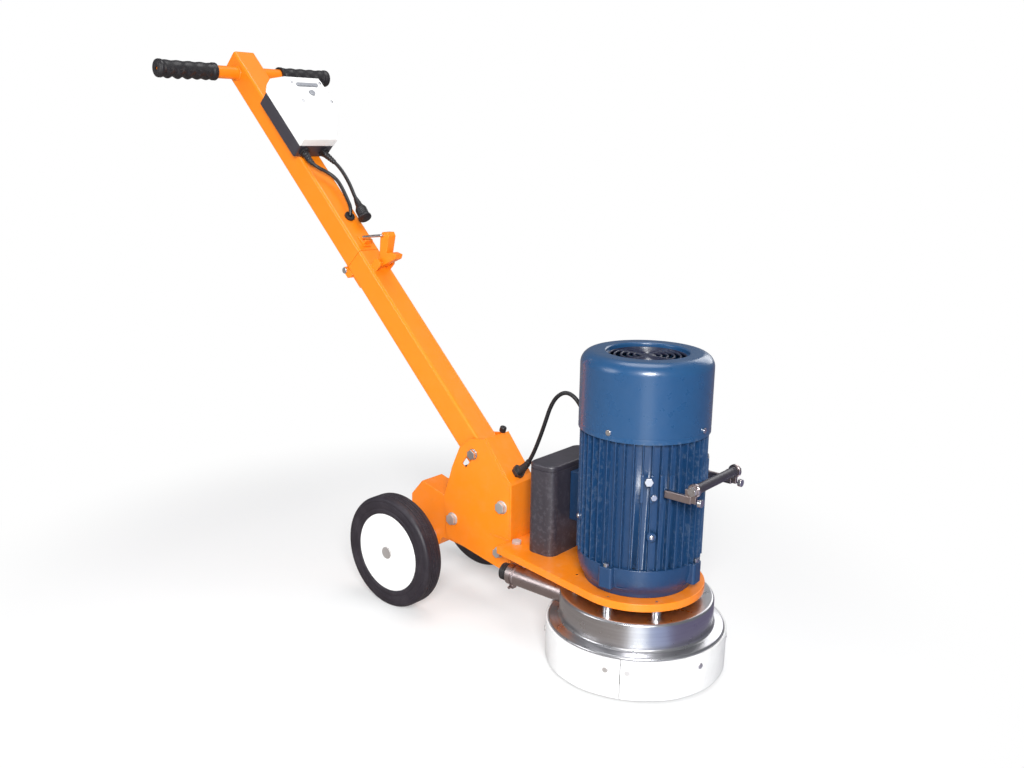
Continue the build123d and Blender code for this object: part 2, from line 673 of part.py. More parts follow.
def upper_column():
    low = FOLD_STATION + FOLD_GAP / 2
    beam = box_section(low, TOP_STATION)
    beam -= rod((0, -40, BAR_STATION), (0, 40, BAR_STATION), BAR_R)
    beam += rod((HINGE_N, -8.6, FOLD_STATION), (HINGE_N, 8.6, FOLD_STATION), 7)
    beam += block(HINGE_N - 6, HINGE_N + 6, -8.6, 8.6, FOLD_STATION + 1, FOLD_STATION + 16)
    beam += block(HINGE_N, -COLUMN_HALF + 2, -8.6, 8.6, FOLD_STATION + 8, FOLD_STATION + 22)
    beam -= rod((HINGE_N, -30, FOLD_STATION), (HINGE_N, 30, FOLD_STATION), 4.05)
    gusset = Polyline((0, COLUMN_HALF - 1, 868), (0, COLUMN_HALF - 1, BAR_STATION), (0, 64, BAR_STATION),
                      close=True)
    web = extrude(Pos(-2.5, 0, 0) * make_face(gusset), 5, dir=(1, 0, 0))
    beam += web - rod((0, 0, BAR_STATION), (0, 90, BAR_STATION), BAR_R)
    beam -= rod((COLUMN_HALF - 8, GROMMET_Y, GROMMET_S), (COLUMN_HALF + 2, GROMMET_Y, GROMMET_S), 7)
    return on_column(beam)


def latch_keeper():
    """Bracket on the upper column with a lip for the bail's cross bar."""
    s = KEEPER_S
    foot = block(COLUMN_HALF, COLUMN_HALF + 3, -9, 9, s - 14, s + 12)
    lip = block(COLUMN_HALF, COLUMN_HALF + 13, -9, 9, s - 10, s - 6)
    rivet = rod((COLUMN_HALF + 3, 0, s + 5), (COLUMN_HALF + 5, 0, s + 5), 4)
    return on_column(foot + lip + rivet)


def handlebar():
    return on_column(rod((0, -BAR_HALF + 4, BAR_STATION), (0, BAR_HALF - 4, BAR_STATION), BAR_R))


def grips():
    parts = []
    for side in (-1, 1):
        start, end = (0, side * GRIP_START, BAR_STATION), (0, side * (BAR_HALF - 4), BAR_STATION)
        sleeve = tube(start, end, GRIP_R - 1, BAR_R)
        cap = rod((0, side * (BAR_HALF - 4), BAR_STATION), (0, side * BAR_HALF, BAR_STATION), GRIP_R)
        collar = tube(start, (0, side * (GRIP_START + 5), BAR_STATION), GRIP_R, BAR_R)
        parts.append(on_column(sleeve + cap + collar))
    return parts


# ---------------------------------------------------------------- switch box

def profile(points, y0, y1):
    """Piece with an outline in (front, station), in the column's frame."""
    wire = Polyline(*[(n, 0, s) for n, s in points], close=True)
    return extrude(Pos(0, y0, 0) * make_face(wire), y1 - y0, dir=(0, 1, 0))


def switch_box_base():
    h = SWITCH_HALF
    base = block(COLUMN_HALF, SWITCH_BASE_FRONT, -h, h, SWITCH_LOW, SWITCH_HIGH)
    base = fillet(base.edges().filter_by(Axis.X), 4)
    base -= block(COLUMN_HALF + 3, SWITCH_BASE_FRONT + 1, -h + 3, h - 3, SWITCH_LOW + 3, SWITCH_HIGH - 3)
    for y in (-GLAND_Y, GLAND_Y):
        base -= rod((GLAND_N, y, SWITCH_LOW - 2), (GLAND_N, y, SWITCH_LOW + 6), 7)
    return on_column(base)


def switch_box_cover():
    h = SWITCH_HALF
    cover = profile(COVER, -h, h) - profile(COVER_INSIDE, -h + 3, h - 3)
    cover -= block(SWITCH_FRONT - 6, SWITCH_FRONT + 6, -25.4, 25.4, STOP_S - 3.9, STOP_S + 3.9)
    cover -= rod((SWITCH_FRONT - 6, 0, START_S), (SWITCH_FRONT + 6, 0, START_S), 6.4)
    return on_column(cover)


def stop_bar():
    bar = block(SWITCH_FRONT - 10, SWITCH_FRONT + 3, -25, 25, STOP_S - 3.5, STOP_S + 3.5)
    return on_column(fillet(bar.edges().filter_by(Axis.X), 2.5))


def start_button():
    return on_column(rod((SWITCH_FRONT - 10, 0, START_S), (SWITCH_FRONT + 3, 0, START_S), 6))


def contactor():
    """Switch block inside the box."""
    return on_column(block(COLUMN_HALF + 3, 98, -26, 26, 690, 772))


def lead_fittings():
    """Two glands under the switch box and the grommet in the column."""
    parts = []
    for y in (-GLAND_Y, GLAND_Y):
        gland = rod((GLAND_N, y, SWITCH_LOW - 9), (GLAND_N, y, SWITCH_LOW + 5), 6.9)
        gland += hexagon((GLAND_N, y, SWITCH_LOW - 5), (GLAND_N, y, SWITCH_LOW), 19)
        gland -= rod((GLAND_N, y, SWITCH_LOW - 20), (GLAND_N, y, SWITCH_LOW + 8), LEAD_R)
        parts.append(on_column(gland))
    n0 = COLUMN_HALF
    grommet = rod((n0 - 5, GROMMET_Y, GROMMET_S), (n0 + 5, GROMMET_Y, GROMMET_S), 6.9)
    grommet += rod((n0, GROMMET_Y, GROMMET_S), (n0 + 5, GROMMET_Y, GROMMET_S), 10)
    grommet -= rod((n0 - 8, GROMMET_Y, GROMMET_S), (n0 + 8, GROMMET_Y, GROMMET_S), LEAD_R)
    parts.append(on_column(grommet))
    return parts


def cord(points, radius):
    """Plain cord: straight runs with an arc at each corner, as large as the runs allow."""
    corners = [Vector(*p) for p in points]
    radii = []
    for a, b, c in zip(corners, corners[1:], corners[2:]):
        turn = math.radians((b - a).get_angle(c - b))
        short = min((b - a).length, (c - b).length)
        radii.append(0.45 * short / math.tan(turn / 2))
    path = FilletPolyline(*corners, radius=radii)
    start = Plane(origin=corners[0], z_dir=corners[1] - corners[0])
    body = sweep(start * Circle(radius), path=path)
    runs = [(b - a).length for a, b in zip(corners, corners[1:])]
    section = math.pi * radius * radius
    print("cord", round(path.length, 1), "mm, smallest radius", round(min(radii), 1))
    print("  radii", [round(r) for r in radii], "runs", [round(r) for r in runs])
    print("  volume over section times length", round(body.volume / (section * path.length), 4))
    return body


def lead(route):
    return cord([tuple(column_point(*p)) for p in route], LEAD_R)


def mains_plug():
    """Cable plug on the mains lead, lying along the column."""
    before, end = (column_point(*p) for p in MAINS_LEAD[-2:])
    ahead = (end - before).normalized()
    plug = rod(end, end + ahead * 10, 6.5)
    plug += rod(end + ahead * 9, end + ahead * 36, 10.5)
    plug += rod(end + ahead * 34, end + ahead * 38, 13)
    return plug


def cable_glands():
    tip = Vector(*MOTOR_CABLE[0])
    axis = (Vector(*MOTOR_CABLE[1]) - tip).normalized()
    web = rod(tip - axis * 11, tip, 8.0) + hexagon(tip - axis * 11, tip - axis * 3, 21)
    web += rod(tip - axis * 22, tip - axis * 10, 7.6)
    end = Vector(*MOTOR_CABLE[-1])
    low = Vector(end.X, end.Y, TERMINAL_TOP)
    top = tube(low, end, 8.5, LEAD_R) + rod(low, low + Vector(0, 0, 3), 8.5)
    top += hexagon(low, low + Vector(0, 0, 6), 20)
    return [web, top]


# ---------------------------------------------------------------- fold latch

def latch_lever():
    """Hand lever between the lugs, with a finger tab."""
    outline = [(LEVER_N - 6, LEVER_S - 5), (LEVER_N + 6, LEVER_S - 9), (74, 356), (82, 360), (74, 372), (64, 378),
               (BAIL_N + 12, BAIL_S - 12), (BAIL_N + 14, BAIL_S - 4), (BAIL_N + 4, BAIL_S + 5),
               (BAIL_N - 6, BAIL_S + 3), (LEVER_N + 2, LEVER_S + 8), (LEVER_N - 7, LEVER_S + 3)]
    body = profile(outline, -9, 9)
    body -= rod((LEVER_N, -20, LEVER_S), (LEVER_N, 20, LEVER_S), 3.55)
    body -= rod((BAIL_N, -20, BAIL_S), (BAIL_N, 20, BAIL_S), 2.55)
    return on_column(body)


def latch_bail():
    """Wire loop from the lever to the keeper."""
    w = 2.5
    y = 12.5
    end_n = COLUMN_HALF + 13 + w + 0.6
    end_s = KEEPER_S - 2
    loop = rod((BAIL_N, -y, BAIL_S), (BAIL_N, y, BAIL_S), w)
    for side in (-1, 1):
        loop += rod((BAIL_N, side * y, BAIL_S), (end_n, side * y, end_s), w)
        loop += Pos(BAIL_N, side * y, BAIL_S) * Sphere(w)
        loop += Pos(end_n, side * y, end_s) * Sphere(w)
    loop += rod((end_n, -y, end_s), (end_n, y, end_s), w)
    return on_column(loop)


def main():
    os.makedirs("parts", exist_ok=True)
    save("base_plate", base_plate())
    save("hood_standoffs", *standoffs())
    save("hood", hood())
    save("dust_port", dust_port())
    save("port_cuff", port_cuff())
    save("port_clamp", port_clamp())
    save("skirt", skirt())
    save("skirt_rivets", *skirt_rivets())
    save("motor_shaft", motor_shaft())
    save("rotor_core", rotor_core())
    save("cooling_fan", cooling_fan())
    save("drive_hub", drive_hub())
    save("grinding_disc", grinding_disc())
    save("disc_bolts", *disc_bolts())
    save("diamond_segments", *diamond_segments())
    save("drive_end_shield", drive_end_shield())
    save("stator_housing", stator_housing())
    save("stator_core", stator_core())
    save("stator_windings", *stator_windings())
    save("fan_end_shield", fan_end_shield())
    save("motor_bearings", *motor_bearings())
    save("fan_cowl", fan_cowl())
    save("motor_bolts", *motor_bolts())
    save("terminal_box", terminal_box())
    save("capacitor_cover", capacitor_cover())
    save("capacitors", *capacitors())
    save("lift_handle_arms", *lift_handle_arms())
    save("lift_handle_grip", lift_handle_grip())
    save("lift_handle_bolts", *lift_handle_bolts())
    save("side_plate_right", side_plate(-1))
    save("side_plate_left", side_plate(1))
    save("chassis_bolts", *chassis_bolts())
    save("front_web", *front_web())
    save("bump_stop", bump_stop())
    save("axle_carrier", axle_carrier())
    save("axle", *axle())
    for name, side in (("right", -1), ("left", 1)):
        save(f"tyre_{name}", tyre(side))
        save(f"wheel_disc_{name}", wheel_disc(side))
    save("lower_column", lower_column())
    save("index_bolt", index_bolt())
    save("hinge_pin", hinge_pin())
    save("upper_column", upper_column())
    save("latch_keeper", latch_keeper())
    save("handlebar", handlebar())
    save("grips", *grips())
    save("switch_box_base", switch_box_base())
    save("switch_box_cover", switch_box_cover())
    save("contactor", contactor())
    save("stop_bar", stop_bar())
    save("start_button", start_button())
    save("lead_fittings", *lead_fittings())
    save("control_lead", lead(CONTROL_LEAD))
    save("mains_lead", lead(MAINS_LEAD))
    save("mains_plug", mains_plug())
    save("cable_glands", *cable_glands())
    save("motor_cable", cord(MOTOR_CABLE, LEAD_R))
    save("latch_lever", latch_lever())
    save("latch_bail", latch_bail())


main()
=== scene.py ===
import bpy
import json
import math
from mathutils import Matrix, Vector, noise


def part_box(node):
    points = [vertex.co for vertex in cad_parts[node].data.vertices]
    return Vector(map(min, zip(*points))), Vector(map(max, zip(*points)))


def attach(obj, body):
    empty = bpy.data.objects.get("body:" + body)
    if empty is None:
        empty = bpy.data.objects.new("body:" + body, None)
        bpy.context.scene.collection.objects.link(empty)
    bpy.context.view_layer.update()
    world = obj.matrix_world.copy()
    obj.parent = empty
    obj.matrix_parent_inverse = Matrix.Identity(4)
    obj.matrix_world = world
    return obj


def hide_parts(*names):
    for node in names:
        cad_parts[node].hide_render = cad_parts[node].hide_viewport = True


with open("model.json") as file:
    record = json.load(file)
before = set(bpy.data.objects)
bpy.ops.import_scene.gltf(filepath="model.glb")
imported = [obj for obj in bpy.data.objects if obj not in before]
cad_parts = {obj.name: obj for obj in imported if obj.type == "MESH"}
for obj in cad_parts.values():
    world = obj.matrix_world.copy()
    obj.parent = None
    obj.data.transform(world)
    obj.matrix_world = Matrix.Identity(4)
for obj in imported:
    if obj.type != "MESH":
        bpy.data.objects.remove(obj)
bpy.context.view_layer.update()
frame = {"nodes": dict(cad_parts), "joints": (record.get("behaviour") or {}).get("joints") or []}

# Metres, +X forward to the grinding head, +Y to the operator's left, +Z up.
nodes = frame["nodes"]
joints = {joint["name"]: joint for joint in frame["joints"]}
spindle = Vector((joints["spindle_spin"]["pos_m"][0], 0, 0))
wheelCentre = {side: Vector(joints[side + "_wheel_spin"]["pos_m"]) for side in ("right", "left")}

columnLean = math.radians(45.5)
columnFoot = Vector((0.088, 0, 0.304))
columnUp = Vector((-math.cos(columnLean), 0, math.sin(columnLean)))
columnFront = Vector((math.sin(columnLean), 0, math.cos(columnLean)))
alongY = Vector((0, 1, 0))
alongZ = Vector((0, 0, 1))

# how near two points of a mesh are when they count as one
sameSpot = {"turned": 0.00002, "copied": 0.000004, "repeated": 0.00001}


def onColumn(station, ahead, side):
    return columnFoot + columnUp * station + columnFront * ahead + alongY * side


def selectOnly(piece):
    if bpy.context.object and bpy.context.object.mode != "OBJECT":
        bpy.ops.object.mode_set(mode="OBJECT")
    bpy.ops.object.select_all(action="DESELECT")
    piece.select_set(True)
    bpy.context.view_layer.objects.active = piece


def startEdit(piece):
    selectOnly(piece)
    bpy.ops.object.mode_set(mode="EDIT")
    bpy.ops.mesh.select_mode(type="VERT")
    bpy.ops.mesh.select_all(action="SELECT")


def endEdit():
    bpy.ops.object.mode_set(mode="OBJECT")


def choose(piece, mode, test):
    # the test is given a vertex's place, or the places of an edge's two ends
    bpy.ops.mesh.select_mode(type=mode)
    bpy.ops.mesh.select_all(action="DESELECT")
    bpy.ops.object.mode_set(mode="OBJECT")
    points = piece.data.vertices
    if mode == "VERT":
        for point in points:
            point.select = test(point.co)
    else:
        for edge in piece.data.edges:
            edge.select = test(*(points[index].co for index in edge.vertices))
    bpy.ops.object.mode_set(mode="EDIT")


def easeEdges(piece, width, segments=2, sharp=32):
    selectOnly(piece)
    bpy.ops.object.modifier_add(type="BEVEL")
    bevel = piece.modifiers[-1]
    bevel.width = width
    bevel.segments = segments
    bevel.limit_method = "ANGLE"
    bevel.angle_limit = math.radians(sharp)
    bevel.use_clamp_overlap = False
    bevel.miter_outer = "MITER_ARC"
    bpy.ops.object.modifier_apply(modifier=bevel.name)


def smooth(piece, angle=40, weighted=True):
    selectOnly(piece)
    bpy.ops.object.shade_smooth_by_angle(angle=math.radians(angle))
    if weighted:
        bpy.ops.object.modifier_add(type="WEIGHTED_NORMAL")
        piece.modifiers[-1].keep_sharp = True
        bpy.ops.object.modifier_apply(modifier=piece.modifiers[-1].name)
    return piece


def arc(radius, height, size, start, end, count=6):
    # outline points on an arc, in degrees from the outward direction
    turns = [math.radians(start + (end - start) * index / count) for index in range(count + 1)]
    return [(radius + size * math.cos(turn), height + size * math.sin(turn)) for turn in turns]


def mirrored(half):
    # a whole outline from the half below the middle
    return half + [(reach, -height) for reach, height in reversed(half)]


def turnedPiece(name, outline, centre, axis=alongZ, steps=96, closed=True, start=0.0, sweep=360.0):
    # outline: (radius, height) pairs, turned about the axis through the centre
    aside = Vector((1, 0, 0)) if abs(axis.x) < 0.5 else alongZ
    aside = Matrix.Rotation(math.radians(start), 3, axis) @ aside
    bpy.ops.object.select_all(action="DESELECT")
    bpy.ops.mesh.primitive_plane_add(size=0.001)
    piece = bpy.context.object
    piece.name = name
    bpy.ops.object.mode_set(mode="EDIT")
    bpy.ops.mesh.select_mode(type="VERT")
    bpy.ops.mesh.select_all(action="SELECT")
    bpy.ops.mesh.merge(type="CENTER")
    spots = [centre + aside * radius + axis * height for radius, height in outline]
    bpy.ops.transform.translate(value=spots[0])
    for before, after in zip(spots, spots[1:]):
        bpy.ops.mesh.extrude_region_move(TRANSFORM_OT_translate={"value": after - before})
    if closed:
        bpy.ops.object.mode_set(mode="OBJECT")
        last = len(piece.data.vertices) - 1
        for index in (0, last):
            piece.data.vertices[index].select = True
        bpy.ops.object.mode_set(mode="EDIT")
        bpy.ops.mesh.edge_face_add()
    bpy.ops.mesh.select_all(action="SELECT")
    bpy.ops.mesh.spin(steps=steps, angle=-math.radians(sweep), center=centre, axis=axis)
    bpy.ops.mesh.select_all(action="SELECT")
    bpy.ops.mesh.remove_doubles(threshold=sameSpot["turned"])
    if sweep < 360:
        bpy.ops.mesh.fill_holes(sides=0)
    bpy.ops.mesh.normals_make_consistent(inside=False)
    bpy.ops.object.mode_set(mode="OBJECT")
    return piece


def copiedPiece(name, node, width, segments, joinAngle=0.6):
    # the CAD piece with its loose triangles joined into faces and its edges eased
    piece = bpy.data.objects.new(name, nodes[node].data.copy())
    bpy.context.scene.collection.objects.link(piece)
    startEdit(piece)
    bpy.ops.mesh.customdata_custom_splitnormals_clear()
    bpy.ops.mesh.remove_doubles(threshold=sameSpot["copied"])
    bpy.ops.mesh.dissolve_limited(angle_limit=math.radians(joinAngle))
    endEdit()
    if width:
        easeEdges(piece, width, segments)
    return smooth(piece)


def blockPiece(name, low, high):
    low, high = Vector(low), Vector(high)
    bpy.ops.object.select_all(action="DESELECT")
    bpy.ops.mesh.primitive_cube_add(size=1, location=(low + high) / 2, scale=high - low)
    piece = bpy.context.object
    piece.name = name
    bpy.ops.object.transform_apply(location=True, rotation=True, scale=True)
    return piece


def joinPieces(first, *others):
    selectOnly(first)
    for other in others:
        other.select_set(True)
    bpy.ops.object.join()
    return first


def joinAs(name, pieces, angle):
    piece = joinPieces(*pieces)
    piece.name = name
    return smooth(piece, angle)


def place(piece, body, finish, *stoodFor, slot=None):
    piece.data.materials.clear()
    piece.data.materials.append(finishes[finish])
    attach(piece, body)
    if stoodFor:
        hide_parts(*stoodFor)
    return piece


def placeCopies(body, copies):
    # copies: by CAD node, the piece's name, its finish, and its eased edge's width and segments
    for node, (name, finish, width, segments) in copies.items():
        place(copiedPiece(name, node, width, segments), body, finish, node)


def newGroup(name, takes, gives):
    # gives back the group, what it takes in and what it puts out
    group = bpy.data.node_groups.new(name, "ShaderNodeTree")
    for label, kind, value in takes:
        socket = group.interface.new_socket(name=label, in_out="INPUT", socket_type="NodeSocket" + kind)
        socket.default_value = value
    for label, kind in gives:
        group.interface.new_socket(name=label, in_out="OUTPUT", socket_type="NodeSocket" + kind)
    return group, group.nodes.new("NodeGroupInput").outputs, group.nodes.new("NodeGroupOutput").inputs


def addNode(tree, kind, feeds=None, **settings):
    # feeds: by input, a fixed value or another node's output
    node = tree.nodes.new("ShaderNode" + kind)
    for key, value in settings.items():
        setattr(node, key, value)
    for label, value in (feeds or {}).items():
        if isinstance(value, bpy.types.NodeSocket):
            tree.links.new(value, node.inputs[label])
        else:
            node.inputs[label].default_value = value
    return node


def objectSpot(tree):
    return addNode(tree, "TexCoord").outputs["Object"]


def apart(tree, vector):
    return addNode(tree, "SeparateXYZ", {0: vector}).outputs


def math2(tree, operation, first, second, clamp=False):
    return addNode(tree, "Math", {0: first, 1: second}, operation=operation, use_clamp=clamp).outputs[0]


def times(tree, first, second, clamp=False):
    return math2(tree, "MULTIPLY", first, second, clamp)


def ranged(tree, value, low, high, start=0.0, end=1.0, kind="SMOOTHSTEP"):
    feeds = {"Value": value, "From Min": low, "From Max": high, "To Min": start, "To Max": end}
    return addNode(tree, "MapRange", feeds, interpolation_type=kind).outputs["Result"]


def mixed(tree, mask, first, second):
    return addNode(tree, "Mix", {0: mask, 6: first, 7: second}, data_type="RGBA").outputs[2]


def noiseOf(tree, coordinates, scale, detail=3.0, roughness=0.55):
    feeds = {"Vector": coordinates, "Scale": scale, "Detail": detail, "Roughness": roughness}
    return addNode(tree, "TexNoise", feeds).outputs["Fac"]


def agedSurface():
    # paint that varies a little, shows its undercoat on edges and gathers dust low down
    aging = {"broad": 9.0, "chips": 160.0, "patches": 38.0, "gloss": 55.0, "edge": (0.53, 0.60),
             "chipped": (0.50, 0.62), "dusty": (0.42, 0.72), "heights": (0.02, 0.45), "glossSpread": (0.3, 0.7)}
    group, take, give = newGroup("agedSurface", [
        ("Finish", "Color", (0.8, 0.8, 0.8, 1)), ("Undercoat", "Color", (0.3, 0.3, 0.3, 1)),
        ("Dust", "Color", (0.6, 0.58, 0.54, 1)), ("Wear", "Float", 0.5), ("Dust Amount", "Float", 0.3),
        ("Variation", "Float", 0.08), ("Gloss Low", "Float", 0.3), ("Gloss High", "Float", 0.5)],
        [("Color", "Color"), ("Roughness", "Float")])
    spot = objectSpot(group)
    geometry = addNode(group, "NewGeometry").outputs
    broad = noiseOf(group, spot, aging["broad"], 4.0)
    tint = times(group, math2(group, "SUBTRACT", broad, 0.5), take["Variation"])
    value = math2(group, "ADD", 1.0, times(group, tint, 2.0))
    shade = addNode(group, "HueSaturation", {"Color": take["Finish"], "Value": value}).outputs[0]
    edge = ranged(group, geometry["Pointiness"], *aging["edge"])
    chips = ranged(group, noiseOf(group, spot, aging["chips"], 5.0, 0.65), *aging["chipped"])
    worn = times(group, times(group, edge, chips), take["Wear"], True)
    lowness = ranged(group, apart(group, spot)["Z"], *aging["heights"], 1.0, 0.12)
    settled = ranged(group, apart(group, geometry["Normal"])["Z"], 0.2, 1.0, 0.35, 1.0)
    patches = ranged(group, noiseOf(group, spot, aging["patches"], 6.0, 0.7), *aging["dusty"])
    dusty = times(group, times(group, lowness, settled), patches)
    dusty = times(group, dusty, take["Dust Amount"], True)
    color = mixed(group, worn, shade, take["Undercoat"])
    group.links.new(mixed(group, dusty, color, take["Dust"]), give["Color"])
    rough = ranged(group, noiseOf(group, spot, aging["gloss"], 4.0), *aging["glossSpread"],
                   take["Gloss Low"], take["Gloss High"], "LINEAR")
    group.links.new(math2(group, "ADD", rough, times(group, dusty, 0.5), True), give["Roughness"])
    return group


def grainSurface():
    # fine surface relief: orange peel in paint, cast skin or moulded grain
    group, take, give = newGroup("grainSurface", [
        ("Scale", "Float", 900.0), ("Coarse", "Float", 120.0), ("Balance", "Float", 0.4)],
        [("Height", "Float")])
    spot = objectSpot(group)
    fine = noiseOf(group, spot, take["Scale"], 2.0)
    coarse = noiseOf(group, spot, take["Coarse"])
    blended = addNode(group, "Mix", {0: take["Balance"], 2: fine, 3: coarse}, data_type="FLOAT")
    group.links.new(blended.outputs[0], give["Height"])
    return group


def turningLines():
    # lines left by a lathe or by spinning: rings about an upright axis
    streak = {"scale": 260.0, "drift": 0.004}
    group, take, give = newGroup("turningLines", [
        ("Centre", "Vector", (0, 0, 0)), ("Pitch", "Float", 2200.0)],
        [("Height", "Float"), ("Streak", "Float")])
    offset = addNode(group, "VectorMath", {0: objectSpot(group), 1: take["Centre"]}, operation="SUBTRACT")
    part = apart(group, offset.outputs[0])
    flat = addNode(group, "CombineXYZ", {"X": part["X"], "Y": part["Y"]}).outputs[0]
    reach = addNode(group, "VectorMath", {0: flat}, operation="LENGTH").outputs["Value"]
    turn = times(group, math2(group, "ARCTAN2", part["Y"], part["X"]), streak["drift"])
    wound = addNode(group, "CombineXYZ", {"X": reach, "Y": turn, "Z": part["Z"]}).outputs[0]
    group.links.new(noiseOf(group, wound, take["Pitch"]), give["Height"])
    group.links.new(noiseOf(group, wound, streak["scale"], 4.0), give["Streak"])
    return group


groups = {"aged": agedSurface(), "grain": grainSurface(), "turning": turningLines()}


def useGroup(tree, key, **values):
    node = tree.nodes.new("ShaderNodeGroup")
    node.node_tree = groups[key]
    for label, value in values.items():
        node.inputs[label.replace("_", " ")].default_value = value
    return node


def newMaterial(name, **shaderValues):
    material = bpy.data.materials.new(name)
    material.use_nodes = True
    shader = material.node_tree.nodes["Principled BSDF"]
    for label, value in shaderValues.items():
        shader.inputs[label.replace("_", " ")].default_value = value
    return material, material.node_tree, shader


def addBump(tree, shader, height, look):
    bump = addNode(tree, "Bump", {"Strength": look["relief"], "Distance": look["depth"], "Height": height})
    tree.links.new(bump.outputs[0], shader.inputs["Normal"])


def agedBy(tree, look, beneath):
    return useGroup(tree, "aged", Finish=(*look["color"], 1), Undercoat=(*look[beneath], 1),
                    Dust=(*look["dustColor"], 1), Wear=look["wear"], Dust_Amount=look["dust"],
                    Variation=look["variation"], Gloss_Low=look["rough"][0], Gloss_High=look["rough"][1])


def paintFinish(name, look):
    look = {**plainPaint, **look}
    material, tree, shader = newMaterial(name, Coat_Weight=look["coat"], Coat_Roughness=look["coatRoughness"],
                                         Specular_IOR_Level=look["specular"])
    aged = agedBy(tree, look, "undercoat")
    grain = useGroup(tree, "grain", Scale=look["grain"][0], Coarse=look["grain"][1], Balance=0.5)
    tree.links.new(aged.outputs["Color"], shader.inputs["Base Color"])
    tree.links.new(aged.outputs["Roughness"], shader.inputs["Roughness"])
    addBump(tree, shader, grain.outputs["Height"], look)
    return material


def metalFinish(name, look):
    look = {**plainMetal, **look}
    material, tree, shader = newMaterial(name, Metallic=1.0)
    aged = agedBy(tree, look, "stain")
    color = aged.outputs["Color"]
    if look["turned"]:
        lines = useGroup(tree, "turning", Centre=spindle, Pitch=look["pitch"])
        streaks = ranged(tree, lines.outputs["Streak"], 0.35, 0.65, 0.0, 0.35)
        color = mixed(tree, streaks, color, (*look["stain"], 1))
        height = lines.outputs["Height"]
    else:
        height = useGroup(tree, "grain", Scale=look["pitch"], Coarse=150.0, Balance=0.4).outputs["Height"]
    tree.links.new(color, shader.inputs["Base Color"])
    tree.links.new(aged.outputs["Roughness"], shader.inputs["Roughness"])
    addBump(tree, shader, height, look)
    return material


paleDust = (0.62, 0.60, 0.56)
